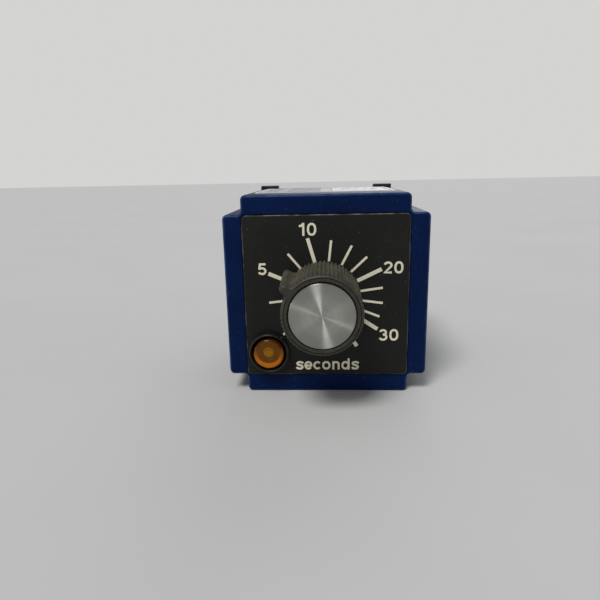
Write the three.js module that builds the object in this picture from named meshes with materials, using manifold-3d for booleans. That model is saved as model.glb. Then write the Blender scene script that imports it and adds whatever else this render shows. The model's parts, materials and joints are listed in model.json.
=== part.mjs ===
// Plug-in interval timer: a cross-section moulded housing with a setting knob and a neon lamp on its
// face, and an eleven-pin plug base at its back. Millimetres, +Z up. The origin is the centre of the
// underside. The face looks along -Y and the pins point along +Y.
import * as THREE from 'three';
import { mergeVertices } from 'three/addons/utils/BufferGeometryUtils.js';
import Module from 'manifold-3d';

const wasm = await Module();
wasm.setup();

// ---- driving dimensions -------------------------------------------------------------------------

const CLEARANCE = 0.3; // between pieces that fit in or round each other
const TINY_CLEARANCE = 0.15; // round the face plate
const CUT = 1; // how far a cutting solid runs past the face that it opens

// housing
const FRONT_SIDE = 50; // outer width and height
const HOUSING_DEPTH = 42;
const NOTCH = 4.6; // square corner left out of the outline, which makes it a cross
const CORNER_ROUND = 1.2;
const NOTCH_ROUND = 0.9;
const FRONT_EDGE_ROUND = 0.8;
const WALL = 2;
const FRONT_WALL = 3;

// face plate
const PLATE_INSET = 0.2; // how far the plate's edge stays inside the notches
const PLATE_THICKNESS = 1.5;
const PLATE_RECESS = 1; // how deep the plate sits in the housing
const PLATE_ROUND = 1;

// rating label on the top
const LABEL_WIDTH = 36;
const LABEL_SETBACK = 8; // from the front of the housing
const LABEL_REAR_MARGIN = 0.6;
const LABEL_THICKNESS = 0.2;

// setting knob
const AXIS_OFFSET_X = -0.8; // the shaft stands this far to the side of the face's centre
const KNOB_RADIUS = 9.2;
const KNOB_LENGTH = 17;
const KNOB_STANDOFF = 0.5; // running gap to the face plate
const RIB_COUNT = 56;
const RIB_DEPTH = 0.35;
const POINTER_REACH = 11.4; // from the axis to the tip of the nose
const POINTER_HALF_WIDTH = 0.9;
const POINTER_FLARE = 1.0; // how far the nose's concave sides spread where they meet the body
const POINTER_ANGLE = -54; // degrees clockwise from straight up, at rest
const SKIRT_CLEARANCE = 1.4; // round the nut's flats, in the hollow back of the knob
const SKIRT_DEPTH = 5;
const CAP_RIM = 1.95; // width of the knob's front rim, round the cap
const CAP_SEAT_DEPTH = 1.2;
const CAP_PROUD = 0.2;
const INSERT_WALL = 1.1;
const INSERT_LENGTH = 9.8;
const GRUB_RADIUS = 1.5;
const GRUB_DEPTH = 1.65; // from the ribs down to the screw's outer end

// setting potentiometer
const SHAFT_RADIUS = 3;
const BUSHING_WALL = 1.4;
const BUSHING_PROUD = 4.5; // thread in front of the face plate
const WASHER_WIDTH = 1.6;
const WASHER_THICKNESS = 0.6;
const NUT_WALL = 1; // between the bushing's hole and a flat
const NUT_THICKNESS = 2.2;
const MOUNT_PLATE_THICKNESS = 1.2;
const CAN_RADIUS = 8.3;
const CAN_DEPTH = 8.8;
const CAN_WALL = 0.5;
const WAFER_THICKNESS = 1.2;
const TERMINAL_PITCH = 4;
const TERMINAL_WIDTH = 1.2;
const TERMINAL_LENGTH = 4.2; // from the can's side to the timer board
const WIPER_THICKNESS = 1;

// neon lamp
const LAMP_SIDE_GAP = 0.7; // from the plate's left edge to the bezel
const LAMP_LOWER_GAP = 1.3; // from the plate's lower edge to the bezel
const BEZEL_FLANGE = 0.6; // how far the bezel stands out round its barrel
const BEZEL_TAPER = 0.4;
const BEZEL_HEIGHT = 2.4;
const BARREL_WALL = 0.45;
const BARREL_LENGTH = 11.5; // behind the face plate's front
const LENS_RADIUS = 3.75;
const LENS_PROUD = 0.4; // in front of the bezel
const LENS_FACE = 1;
const LENS_SIDE = 0.8;
const LENS_LENGTH = 10.5;
const CLIP_WIDTH = 0.9;
const CLIP_THICKNESS = 0.6;
const BULB_CLEARANCE = 0.35; // between the bulb and the lens's bore
const BULB_LENGTH = 10;
const LEAD_RADIUS = 0.35;

// plug base
const BASE_FLANGE = 3.5;
const BASE_PLUG_DEPTH = 4; // the part that enters the housing
const LUG_HEIGHT = 1.1;
const LUG_WIDTH = 5.5;
const SPIGOT_RADIUS = 4;
const SPIGOT_LENGTH = 14;
const KEY_WIDTH = 1.6;
const KEY_HEIGHT = 1.1;
const PIN_COUNT = 11;
const PIN_CIRCLE_RADIUS = 9.525;
const PIN_RADIUS = 1.18;
const PIN_PROUD = 11; // behind the base
const SCREW_RADIUS = 1.2;
const SCREW_HEAD_RADIUS = 2.1;
const SCREW_HEAD_HEIGHT = 1.5;
const SCREW_LENGTH = 12; // under the head
const SCREW_FROM_SIDE = 4.4;
const PILLAR_HALF_HEIGHT = 3;
const PILLAR_LENGTH = 8.7;
const COUNTERBORE_DEPTH = 1.8;

// boards
const BOARD_THICKNESS = 1.6;
const PIN_BOARD_SIDE = 34;
const PIN_BOARD_GAP = 3.4; // between the pin board and the plug base
const BOARD_EDGE_GAP = 1.1; // between an upright board and the housing's floor and roof
const PIN_SEAT_DEPTH = 1.3; // how far a pin enters the pin board

// relay, built forward from the pin board
const RELAY_WIDTH = 18;
const RELAY_HEIGHT = 16;
const RELAY_BASE_THICKNESS = 1.8;
const RELAY_RISE = 17.5; // pin board to the top of the dust cover
const COVER_WALL = 0.7;
const YOKE_THICKNESS = 1.2;
const YOKE_HALF_HEIGHT = 4.5;
const YOKE_RISE = 10.8; // upright leg, from the relay base
const CORE_RADIUS = 2.1;
const POLE_RADIUS = 3.6;
const POLE_THICKNESS = 0.9;
const BOBBIN_RADIUS = 4.9;
const BOBBIN_FLANGE = 0.8;
const BOBBIN_TUBE = 0.6;
const ARMATURE_THICKNESS = 1;
const ARMATURE_TRAVEL = 4; // degrees, from released to pulled in
const CONTACT_HALF_HEIGHT = 2;
const CONTACT_STRIP = 0.6;
const CONTACT_TAB = 3;

// parts on the upright boards
const CHIP_SIZE = [3.4, 6.4, 9.4]; // out from the board, along Y, along Z
const TIMING_CAPACITOR_SIZE = [6, 9, 7.4];
const DROPPER_CAPACITOR_SIZE = [5, 9, 13];
const TRIMMER_SIDE = 6.5;
const TRIMMER_THICKNESS = 3;
const TRIMMER_WHEEL_RADIUS = 2;
const TRIMMER_WHEEL_THICKNESS = 1.4;
const TRIMMER_SLOT = 0.6;
const TRANSISTOR_RADIUS = 2.3;
const TRANSISTOR_FLAT = 1.4;
const SMOOTHING_RADIUS = 3.6;
const SMOOTHING_LENGTH = 11;
const RECTIFIER_RADIUS = 1.4;
const RECTIFIER_LENGTH = 5.2;
const RESISTOR_RADIUS = 1.2;
const RESISTOR_LENGTH = 6.5;

// ---- planes and axes that follow ----------------------------------------------------------------

const FRONT_Y = -HOUSING_DEPTH / 2;
const REAR_Y = HOUSING_DEPTH / 2;
const CENTRE_Z = FRONT_SIDE / 2;
const PLATE_FRONT_Y = FRONT_Y + PLATE_RECESS - PLATE_THICKNESS;
const CAVITY_Y = FRONT_Y + FRONT_WALL;
const BASE_INNER_Y = REAR_Y - BASE_PLUG_DEPTH;
const BASE_REAR_Y = REAR_Y + BASE_FLANGE;
const PIN_BOARD_REAR_Y = BASE_INNER_Y - PIN_BOARD_GAP;
const PIN_BOARD_FRONT_Y = PIN_BOARD_REAR_Y - BOARD_THICKNESS;
const FLOOR_Z = WALL;
const ROOF_Z = FRONT_SIDE - WALL;

const PLATE_MARGIN = NOTCH + PLATE_INSET; // from the housing's side to the plate's edge

const shaftHoleRadius = SHAFT_RADIUS + CLEARANCE;
const BUSHING_RADIUS = shaftHoleRadius + BUSHING_WALL;
const bushingHoleRadius = BUSHING_RADIUS + CLEARANCE;
const NUT_CORNER_RADIUS = (bushingHoleRadius + NUT_WALL) / Math.cos(Math.PI / 6);
const WASHER_RADIUS = bushingHoleRadius + WASHER_WIDTH;
const INSERT_RADIUS = shaftHoleRadius + INSERT_WALL;
const SKIRT_RADIUS = bushingHoleRadius + NUT_WALL + SKIRT_CLEARANCE;
const CAP_RADIUS = KNOB_RADIUS - CAP_RIM;

const lensHoleRadius = LENS_RADIUS + CLEARANCE;
const BARREL_RADIUS = lensHoleRadius + BARREL_WALL;
const barrelHoleRadius = BARREL_RADIUS + CLEARANCE;
const BEZEL_RADIUS = BARREL_RADIUS + BEZEL_FLANGE;
const BEZEL_RIM_RADIUS = BEZEL_RADIUS - BEZEL_TAPER;
const CLIP_RADIUS = barrelHoleRadius + CLIP_WIDTH;
const lensBore = LENS_RADIUS - LENS_SIDE;
const BULB_RADIUS = lensBore - BULB_CLEARANCE;

const KNOB_REAR_Y = PLATE_FRONT_Y - KNOB_STANDOFF;
const KNOB_FRONT_Y = KNOB_REAR_Y - KNOB_LENGTH;
const CAP_SEAT_Y = KNOB_FRONT_Y + CAP_SEAT_DEPTH;
const INSERT_REAR_Y = KNOB_REAR_Y - SKIRT_DEPTH;
const INSERT_FRONT_Y = INSERT_REAR_Y - INSERT_LENGTH;
const CAN_FRONT_Y = CAVITY_Y + MOUNT_PLATE_THICKNESS;
const CAN_REAR_Y = CAN_FRONT_Y + CAN_DEPTH;
const POT_AXIS = [AXIS_OFFSET_X, CENTRE_Z];
const LAMP_AXIS = [
  -FRONT_SIDE / 2 + PLATE_MARGIN + LAMP_SIDE_GAP + BEZEL_RADIUS,
  PLATE_MARGIN + LAMP_LOWER_GAP + BEZEL_RADIUS,
];
const TIMER_BOARD_X = AXIS_OFFSET_X + CAN_RADIUS + TERMINAL_LENGTH + CLEARANCE; // its inner face
const POWER_BOARD_X = -RELAY_WIDTH / 2 - 3; // its inner face
const RELAY_BASE_Y = PIN_BOARD_FRONT_Y - RELAY_BASE_THICKNESS; // front face of the relay base

// ---- shaping helpers ----------------------------------------------------------------------------

const SEGMENTS = 32;
const FINE_SEGMENTS = 48;
const ALONG_Y = new THREE.Matrix4().set(1, 0, 0, 0, 0, 0, -1, 0, 0, 1, 0, 0, 0, 0, 0, 1);
const radians = THREE.MathUtils.degToRad;

// A closed mesh as a solid that can be cut and joined.
function solid(geometry) {
  const bare = geometry.index ? geometry.toNonIndexed() : geometry.clone();
  bare.deleteAttribute('normal');
  bare.deleteAttribute('uv');
  const merged = mergeVertices(bare, 1e-5);
  return new wasm.Manifold(new wasm.Mesh({
    numProp: 3,
    vertProperties: new Float32Array(merged.attributes.position.array),
    triVerts: new Uint32Array(merged.index.array),
  }));
}

// A solid as a geometry again.
function surface(shape) {
  const mesh = shape.getMesh();
  const geometry = new THREE.BufferGeometry();
  geometry.setAttribute('position', new THREE.BufferAttribute(mesh.vertProperties, 3));
  geometry.setIndex(new THREE.BufferAttribute(mesh.triVerts, 1));
  geometry.computeVertexNormals();
  return geometry;
}

// A box between two corners.
function block([x0, y0, z0], [x1, y1, z1]) {
  const geometry = new THREE.BoxGeometry(x1 - x0, y1 - y0, z1 - z0);
  geometry.translate((x0 + x1) / 2, (y0 + y1) / 2, (z0 + z1) / 2);
  return solid(geometry);
}

// A shape drawn in X and Z, carried from one Y to another.
function prism(shape, y0, y1, options = {}) {
  const geometry = new THREE.ExtrudeGeometry(shape, {
    depth: y1 - y0,
    bevelEnabled: false,
    curveSegments: 3,
    ...options,
  });
  geometry.applyMatrix4(ALONG_Y);
  geometry.translate(0, y1, 0);
  return solid(geometry);
}

// A profile of [radius, y] points turned round an axis that runs along Y.
function turned(profile, [x, z], segments = SEGMENTS) {
  const points = profile.map(([radius, y]) => new THREE.Vector2(radius, y));
  const geometry = new THREE.LatheGeometry(points, segments);
  geometry.translate(x, 0, z);
  const shape = solid(geometry);
  if (shape.volume() > 0) return shape;
  const index = geometry.index.array;
  for (let i = 0; i < index.length; i += 3) [index[i], index[i + 1]] = [index[i + 1], index[i]];
  return solid(geometry);
}

// A solid rod and a tube between two Y planes.
function rod(radius, y0, y1, axis, segments = SEGMENTS) {
  return turned([[0, y0], [radius, y0], [radius, y1], [0, y1]], axis, segments);
}
function tube(inner, outer, y0, y1, axis, segments = SEGMENTS) {
  return turned([[inner, y0], [outer, y0], [outer, y1], [inner, y1], [inner, y0]], axis, segments);
}

// A cylinder along X or Z, centred on a point.
function lying(radius, length, direction, [x, y, z], segments = 24) {
  const geometry = new THREE.CylinderGeometry(radius, radius, length, segments);
  if (direction === 'x') geometry.rotateZ(Math.PI / 2);
  if (direction === 'z') geometry.rotateX(Math.PI / 2);
  geometry.translate(x, y, z);
  return solid(geometry);
}

// A rounded rectangle in X and Z.
function roundedRectangle(width, height, radius, [x, z]) {
  const [left, right, low, high] = [x - width / 2, x + width / 2, z - height / 2, z + height / 2];
  const shape = new THREE.Shape();
  shape.absarc(right - radius, low + radius, radius, -Math.PI / 2, 0);
  shape.absarc(right - radius, high - radius, radius, 0, Math.PI / 2);
  shape.absarc(left + radius, high - radius, radius, Math.PI / 2, Math.PI);
  shape.absarc(left + radius, low + radius, radius, Math.PI, Math.PI * 1.5);
  return shape;
}

// The housing's cross outline, set in by a distance: a square with a square notch at each corner.
function crossOutline(inset) {
  const far = FRONT_SIDE / 2 - inset;
  const near = FRONT_SIDE / 2 - NOTCH - inset;
  const outer = Math.max(CORNER_ROUND - inset, 0.3);
  const inner = NOTCH_ROUND + inset;
  const shape = new THREE.Shape();
  for (let quarter = 0; quarter < 4; quarter += 1) {
    const turn = (quarter * Math.PI) / 2;
    const place = (u, v) => [
      u * Math.cos(turn) - v * Math.sin(turn),
      CENTRE_Z + u * Math.sin(turn) + v * Math.cos(turn),
    ];
    const arc = (u, v, radius, from, to, clockwise) => {
      const [x, z] = place(u, v);
      shape.absarc(x, z, radius, turn + from, turn + to, clockwise);
    };
    arc(far - outer, near - outer, outer, 0, Math.PI / 2, false);
    arc(near + inner, near + inner, inner, Math.PI * 1.5, Math.PI, true);
    arc(near - outer, far - outer, outer, 0, Math.PI / 2, false);
  }
  return shape;
}

const group = new THREE.Group();

// Adds a named piece to the object.
function piece(name, shape, material, parent = group) {
  const mesh = new THREE.Mesh(surface(shape), material);
  mesh.name = name;
  parent.add(mesh);
  return mesh;
}

const finish = (color, roughness, metalness = 0) => (
  new THREE.MeshStandardMaterial({ color, roughness, metalness })
);
const bluePlastic = finish(0x0f2463, 0.45);
const blackPlastic = finish(0x1b1b1a, 0.5);
const platePaint = finish(0x1a1a19, 0.55);
const knobPlastic = finish(0x2c2c2a, 0.55);
const aluminium = finish(0xb4b5b3, 0.3, 1);
const brass = finish(0xc8a24c, 0.35, 1);
const steel = finish(0x9a9c9e, 0.35, 1);
const copper = finish(0xb4652f, 0.4, 1);
const amber = finish(0xd07a12, 0.2);
const glass = finish(0xdfe6e4, 0.1);
const labelFoil = finish(0xd2d3d0, 0.4, 0.3);
const boardLaminate = finish(0xb98d4a, 0.6);
const phenolic = finish(0x7a4a25, 0.6);
const clearPlastic = finish(0xc9d4d8, 0.15);
const whitePlastic = finish(0xe4e1d6, 0.5);
const capacitorFilm = finish(0x9f2d20, 0.4);
const capacitorSleeve = finish(0x23345f, 0.4);

// ---- housing and what shows on it ---------------------------------------------------------------

const pillarX = FRONT_SIDE / 2 - SCREW_FROM_SIDE;
const screwAxes = [-1, 1].map((side) => [side * pillarX, CENTRE_Z]);
const screwHoleRadius = SCREW_RADIUS + CLEARANCE;
const plateSide = FRONT_SIDE - 2 * PLATE_MARGIN;
const pillarRearY = BASE_INNER_Y - CLEARANCE;

function makeHousing() {
  // The bevel rounds both ends, so the prism is made too long at the back and cut off flat there.
  const rounded = prism(crossOutline(0), FRONT_Y + FRONT_EDGE_ROUND, REAR_Y + CUT, {
    bevelEnabled: true,
    bevelThickness: FRONT_EDGE_ROUND,
    bevelSize: FRONT_EDGE_ROUND,
    bevelOffset: -FRONT_EDGE_ROUND,
    bevelSegments: 3,
  });
  const reach = FRONT_SIDE;
  const behind = block([-reach, REAR_Y, -reach], [reach, REAR_Y + reach, 2 * reach]);
  const cavity = prism(crossOutline(WALL), CAVITY_Y, REAR_Y + CUT);
  const fitted = plateSide + 2 * TINY_CLEARANCE;
  const recessOutline = roundedRectangle(fitted, fitted, PLATE_ROUND + TINY_CLEARANCE, [0, CENTRE_Z]);
  const recess = prism(recessOutline, FRONT_Y - CUT, FRONT_Y + PLATE_RECESS);
  let shell = rounded.subtract(behind).subtract(cavity).subtract(recess);
  for (const [x, z] of screwAxes) {
    const inner = x - Math.sign(x) * (screwHoleRadius + 0.8);
    const outer = Math.sign(x) * (FRONT_SIDE / 2 - WALL / 2);
    const [low, high] = [Math.min(inner, outer), Math.max(inner, outer)];
    const front = pillarRearY - PILLAR_LENGTH;
    shell = shell
      .add(block([low, front, z - PILLAR_HALF_HEIGHT], [high, pillarRearY, z + PILLAR_HALF_HEIGHT]))
      .subtract(rod(screwHoleRadius, front - CUT, pillarRearY + CUT, [x, z], 16));
  }
  return shell
    .subtract(rod(bushingHoleRadius, FRONT_Y - CUT, CAVITY_Y + CUT, POT_AXIS))
    .subtract(rod(barrelHoleRadius, FRONT_Y - CUT, CAVITY_Y + CUT, LAMP_AXIS));
}
piece('housing', makeHousing(), bluePlastic);

function makeFacePlate() {
  const outline = roundedRectangle(plateSide, plateSide, PLATE_ROUND, [0, CENTRE_Z]);
  return prism(outline, PLATE_FRONT_Y, FRONT_Y + PLATE_RECESS)
    .subtract(rod(bushingHoleRadius, PLATE_FRONT_Y - CUT, FRONT_Y + PLATE_RECESS + CUT, POT_AXIS))
    .subtract(rod(barrelHoleRadius, PLATE_FRONT_Y - CUT, FRONT_Y + PLATE_RECESS + CUT, LAMP_AXIS));
}
piece('face_plate', makeFacePlate(), platePaint);

piece('rating_label', block(
  [-LABEL_WIDTH / 2, FRONT_Y + LABEL_SETBACK, FRONT_SIDE],
  [LABEL_WIDTH / 2, REAR_Y - LABEL_REAR_MARGIN, FRONT_SIDE + LABEL_THICKNESS],
), labelFoil);

// ---- knob ---------------------------------------------------------------------------------------

const pointerTurn = radians(POINTER_ANGLE);
const insertHoleRadius = INSERT_RADIUS + CLEARANCE;
const grubY = (INSERT_REAR_Y + INSERT_FRONT_Y) / 2;
const capSeatRadius = CAP_RADIUS + CLEARANCE;

// The ribs stop at the nose, whose sides curve in from the body to a round tip.
function knobOutline() {
  const shape = new THREE.Shape();
  const noseHalfAngle = Math.asin((POINTER_HALF_WIDTH + POINTER_FLARE) / KNOB_RADIUS);
  const ribAngle = (2 * Math.PI - 2 * noseHalfAngle) / RIB_COUNT;
  for (let rib = 0; rib < RIB_COUNT; rib += 1) {
    for (const [share, radius] of [[0, KNOB_RADIUS - RIB_DEPTH], [0.3, KNOB_RADIUS], [0.7, KNOB_RADIUS]]) {
      const angle = noseHalfAngle + (rib + share) * ribAngle;
      const [x, z] = [radius * Math.sin(angle), radius * Math.cos(angle)];
      if (rib === 0 && share === 0) shape.moveTo(x, z);
      else shape.lineTo(x, z);
    }
  }
  const rootRadius = KNOB_RADIUS - RIB_DEPTH;
  const [rootX, rootZ] = [rootRadius * Math.sin(noseHalfAngle), rootRadius * Math.cos(noseHalfAngle)];
  const shoulderZ = POINTER_REACH - POINTER_HALF_WIDTH;
  shape.lineTo(-rootX, rootZ);
  shape.quadraticCurveTo(-POINTER_HALF_WIDTH, rootZ + 0.1, -POINTER_HALF_WIDTH, shoulderZ);
  shape.absarc(0, shoulderZ, POINTER_HALF_WIDTH, Math.PI, 0, true);
  shape.quadraticCurveTo(POINTER_HALF_WIDTH, rootZ + 0.1, rootX, rootZ);
  return shape;
}

// The grub screw and its hole lie on the far side of the axis from the nose.
function radialRod(radius, from, to, segments = 16) {
  const geometry = new THREE.CylinderGeometry(radius, radius, to - from, segments);
  geometry.translate(0, -(from + to) / 2, 0);
  geometry.rotateX(Math.PI / 2);
  geometry.translate(0, grubY, 0);
  return solid(geometry);
}
const grubHole = radialRod(GRUB_RADIUS + CLEARANCE, SHAFT_RADIUS, KNOB_RADIUS + CUT);

// The knob's pieces are made with the nose straight up, and their group turns them to rest.
const knob = new THREE.Group();
knob.position.set(POT_AXIS[0], 0, POT_AXIS[1]);
knob.rotation.y = pointerTurn;
group.add(knob);

const knobBody = prism(knobOutline(), KNOB_FRONT_Y, KNOB_REAR_Y, { curveSegments: 6 })
  .subtract(rod(SKIRT_RADIUS, INSERT_REAR_Y, KNOB_REAR_Y + CUT, [0, 0], FINE_SEGMENTS))
  .subtract(rod(insertHoleRadius, INSERT_FRONT_Y - CLEARANCE, INSERT_REAR_Y + CUT, [0, 0]))
  .subtract(rod(capSeatRadius, KNOB_FRONT_Y - CUT, CAP_SEAT_Y, [0, 0], FINE_SEGMENTS))
  .subtract(grubHole);
piece('knob_body', knobBody, knobPlastic, knob);

const capFrontY = KNOB_FRONT_Y - CAP_PROUD;
piece('knob_cap', turned([
  [0, CAP_SEAT_Y], [CAP_RADIUS, CAP_SEAT_Y], [CAP_RADIUS, capFrontY + CAP_PROUD],
  [CAP_RADIUS - CAP_PROUD, capFrontY], [0, capFrontY],
], [0, 0], FINE_SEGMENTS), aluminium, knob);

const knobInsert = tube(shaftHoleRadius, INSERT_RADIUS, INSERT_FRONT_Y, INSERT_REAR_Y, [0, 0])
  .subtract(grubHole);
piece('knob_insert', knobInsert, brass, knob);

const grubOuterEnd = KNOB_RADIUS - RIB_DEPTH - GRUB_DEPTH;
piece('knob_grub_screw', radialRod(GRUB_RADIUS, shaftHoleRadius, grubOuterEnd), steel, knob);

// ---- setting potentiometer ----------------------------------------------------------------------

const bushingFrontY = PLATE_FRONT_Y - BUSHING_PROUD;
piece('pot_bushing', turned([
  [shaftHoleRadius, bushingFrontY], [BUSHING_RADIUS, bushingFrontY], [BUSHING_RADIUS, CAVITY_Y],
  [CAN_RADIUS, CAVITY_Y], [CAN_RADIUS, CAN_FRONT_Y], [shaftHoleRadius, CAN_FRONT_Y],
  [shaftHoleRadius, bushingFrontY],
], POT_AXIS), brass);

const washerFrontY = PLATE_FRONT_Y - WASHER_THICKNESS;
piece('pot_washer', tube(bushingHoleRadius, WASHER_RADIUS, washerFrontY, PLATE_FRONT_Y, POT_AXIS), steel);

function makeNut() {
  const hexagon = new THREE.Shape();
  for (let corner = 0; corner < 6; corner += 1) {
    const angle = radians(60 * corner);
    const x = POT_AXIS[0] + NUT_CORNER_RADIUS * Math.cos(angle);
    const z = POT_AXIS[1] + NUT_CORNER_RADIUS * Math.sin(angle);
    if (corner === 0) hexagon.moveTo(x, z);
    else hexagon.lineTo(x, z);
  }
  const nutFrontY = washerFrontY - NUT_THICKNESS;
  return prism(hexagon, nutFrontY, washerFrontY)
    .subtract(rod(bushingHoleRadius, nutFrontY - CUT, washerFrontY + CUT, POT_AXIS));
}
piece('pot_nut', makeNut(), steel);

const shaftFrontY = INSERT_FRONT_Y + CLEARANCE;
const wiperRearY = CAN_REAR_Y - CAN_WALL - 4;
const shaftRearY = wiperRearY + 1.5;
piece('pot_shaft', rod(SHAFT_RADIUS, shaftFrontY, shaftRearY, [0, 0]), aluminium, knob);

const waferFrontY = CAN_FRONT_Y + CLEARANCE;
const waferRearY = waferFrontY + WAFER_THICKNESS;
const terminalReach = CAN_RADIUS + TERMINAL_LENGTH;
function makePotCan() {
  const [x, z] = POT_AXIS;
  const slotHalf = TERMINAL_PITCH + TERMINAL_WIDTH / 2 + CLEARANCE;
  const inner = CAN_RADIUS - CAN_WALL;
  return turned([
    [inner, CAN_FRONT_Y], [CAN_RADIUS, CAN_FRONT_Y], [CAN_RADIUS, CAN_REAR_Y], [0, CAN_REAR_Y],
    [0, CAN_REAR_Y - CAN_WALL], [inner, CAN_REAR_Y - CAN_WALL], [inner, CAN_FRONT_Y],
  ], POT_AXIS).subtract(block(
    [x + CAN_RADIUS / 2, CAN_FRONT_Y - CUT, z - slotHalf],
    [x + CAN_RADIUS + CUT, waferRearY + CLEARANCE, z + slotHalf],
  ));
}
piece('pot_can', makePotCan(), steel);

function makePotTrack() {
  const [x, z] = POT_AXIS;
  const waferRadius = CAN_RADIUS - CAN_WALL - CLEARANCE;
  let track = tube(shaftHoleRadius, waferRadius, waferFrontY, waferRearY, POT_AXIS);
  for (const step of [-1, 0, 1]) {
    const middle = z + step * TERMINAL_PITCH;
    track = track.add(block(
      [x + CAN_RADIUS / 2, waferFrontY + 0.3, middle - TERMINAL_WIDTH / 2],
      [x + terminalReach, waferRearY - 0.3, middle + TERMINAL_WIDTH / 2],
    ));
  }
  return track;
}
piece('pot_track', makePotTrack(), phenolic);

function makeWiper() {
  const brushReach = CAN_RADIUS - CAN_WALL - 1.5;
  const wiperFrontY = wiperRearY - WIPER_THICKNESS;
  return rod(SHAFT_RADIUS + 1.6, wiperFrontY, wiperRearY, [0, 0], 24)
    .add(block([-1, wiperFrontY, 0], [1, wiperRearY, brushReach]))
    .add(block([-1, waferRearY + CLEARANCE, brushReach - 1.2], [1, wiperRearY, brushReach]))
    .subtract(rod(shaftHoleRadius, wiperFrontY - CUT, wiperRearY + CUT, [0, 0]));
}
piece('pot_wiper', makeWiper(), copper, knob);

// ---- neon lamp ----------------------------------------------------------------------------------

const bezelFrontY = PLATE_FRONT_Y - BEZEL_HEIGHT;
const lensFrontY = bezelFrontY - LENS_PROUD;
const barrelRearY = PLATE_FRONT_Y + BARREL_LENGTH;
piece('lamp_bezel', turned([
  [lensHoleRadius, bezelFrontY], [BEZEL_RIM_RADIUS, bezelFrontY], [BEZEL_RADIUS, bezelFrontY + 1],
  [BEZEL_RADIUS, PLATE_FRONT_Y], [BARREL_RADIUS, PLATE_FRONT_Y], [BARREL_RADIUS, barrelRearY],
  [lensHoleRadius, barrelRearY], [lensHoleRadius, bezelFrontY],
], LAMP_AXIS), blackPlastic);

const lensRearY = lensFrontY + LENS_LENGTH;
piece('lamp_lens', turned([
  [0, lensFrontY], [LENS_RADIUS, lensFrontY], [LENS_RADIUS, lensRearY], [lensBore, lensRearY],
  [lensBore, lensFrontY + LENS_FACE], [0, lensFrontY + LENS_FACE],
], LAMP_AXIS), amber);

const bulbFrontY = lensFrontY + LENS_FACE + 1;
const bulbRearY = bulbFrontY + BULB_LENGTH;
function bulbProfile() {
  const nose = [];
  for (let step = 0; step <= 4; step += 1) {
    const angle = (step / 4) * (Math.PI / 2);
    nose.push([BULB_RADIUS * Math.sin(angle), bulbFrontY + BULB_RADIUS * (1 - Math.cos(angle))]);
  }
  return [...nose, [BULB_RADIUS, bulbRearY], [0, bulbRearY]];
}
piece('neon_bulb', turned(bulbProfile(), LAMP_AXIS, 24), glass);

piece('lamp_clip', tube(
  barrelHoleRadius, CLIP_RADIUS, CAVITY_Y, CAVITY_Y + CLIP_THICKNESS, LAMP_AXIS,
), steel);

// ---- plug base and pins -------------------------------------------------------------------------

const pinAxes = Array.from({ length: PIN_COUNT }, (_, index) => {
  const angle = ((index + 0.5) / PIN_COUNT) * 2 * Math.PI;
  return [-PIN_CIRCLE_RADIUS * Math.sin(angle), CENTRE_Z + -PIN_CIRCLE_RADIUS * Math.cos(angle)];
});
const pinHoleRadius = PIN_RADIUS + CLEARANCE;
const headSeatY = BASE_REAR_Y - COUNTERBORE_DEPTH;

function makePlugBase() {
  let base = prism(crossOutline(0), REAR_Y, BASE_REAR_Y)
    .add(prism(crossOutline(WALL + CLEARANCE), BASE_INNER_Y, REAR_Y + 0.5))
    .add(rod(SPIGOT_RADIUS, BASE_REAR_Y - 0.5, BASE_REAR_Y + SPIGOT_LENGTH, [0, CENTRE_Z]));
  const keyLow = CENTRE_Z - SPIGOT_RADIUS - KEY_HEIGHT;
  base = base.add(block(
    [-KEY_WIDTH / 2, BASE_REAR_Y - 0.5, keyLow],
    [KEY_WIDTH / 2, BASE_REAR_Y + SPIGOT_LENGTH - 1, CENTRE_Z - SPIGOT_RADIUS / 2],
  ));
  for (const side of [-1, 1]) {
    const outer = side * (FRONT_SIDE / 2 - NOTCH);
    const inner = outer - side * LUG_WIDTH;
    base = base.add(block(
      [Math.min(inner, outer), REAR_Y, FRONT_SIDE - WALL],
      [Math.max(inner, outer), BASE_REAR_Y, FRONT_SIDE + LUG_HEIGHT],
    ));
  }
  for (const axis of pinAxes) {
    base = base.subtract(rod(pinHoleRadius, BASE_INNER_Y - CUT, BASE_REAR_Y + CUT, axis, 16));
  }
  for (const axis of screwAxes) {
    base = base
      .subtract(rod(screwHoleRadius, BASE_INNER_Y - CUT, BASE_REAR_Y, axis, 16))
      .subtract(rod(SCREW_HEAD_RADIUS + CLEARANCE, headSeatY, BASE_REAR_Y + CUT, axis, 20));
  }
  return base;
}
piece('plug_base', makePlugBase(), blackPlastic);

const pinFrontY = PIN_BOARD_REAR_Y - PIN_SEAT_DEPTH;
const pinRearY = BASE_REAR_Y + PIN_PROUD;
pinAxes.forEach((axis, index) => {
  piece(`contact_pin_${index + 1}`, turned([
    [0, pinFrontY], [PIN_RADIUS, pinFrontY], [PIN_RADIUS, pinRearY - PIN_RADIUS],
    [PIN_RADIUS * 0.7, pinRearY - PIN_RADIUS * 0.3], [PIN_RADIUS * 0.25, pinRearY], [0, pinRearY],
  ], axis, 12), brass);
});

screwAxes.forEach((axis, index) => {
  const headY = headSeatY + SCREW_HEAD_HEIGHT;
  const slot = block(
    [axis[0] - SCREW_HEAD_RADIUS - CUT, headY - 0.6, axis[1] - 0.3],
    [axis[0] + SCREW_HEAD_RADIUS + CUT, headY + CUT, axis[1] + 0.3],
  );
  piece(`base_screw_${index + 1}`, turned([
    [0, headSeatY - SCREW_LENGTH], [SCREW_RADIUS, headSeatY - SCREW_LENGTH + 1],
    [SCREW_RADIUS, headSeatY], [SCREW_HEAD_RADIUS, headSeatY], [SCREW_HEAD_RADIUS, headY], [0, headY],
  ], axis, 16).subtract(slot), steel);
});

// ---- boards -------------------------------------------------------------------------------------

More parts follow.
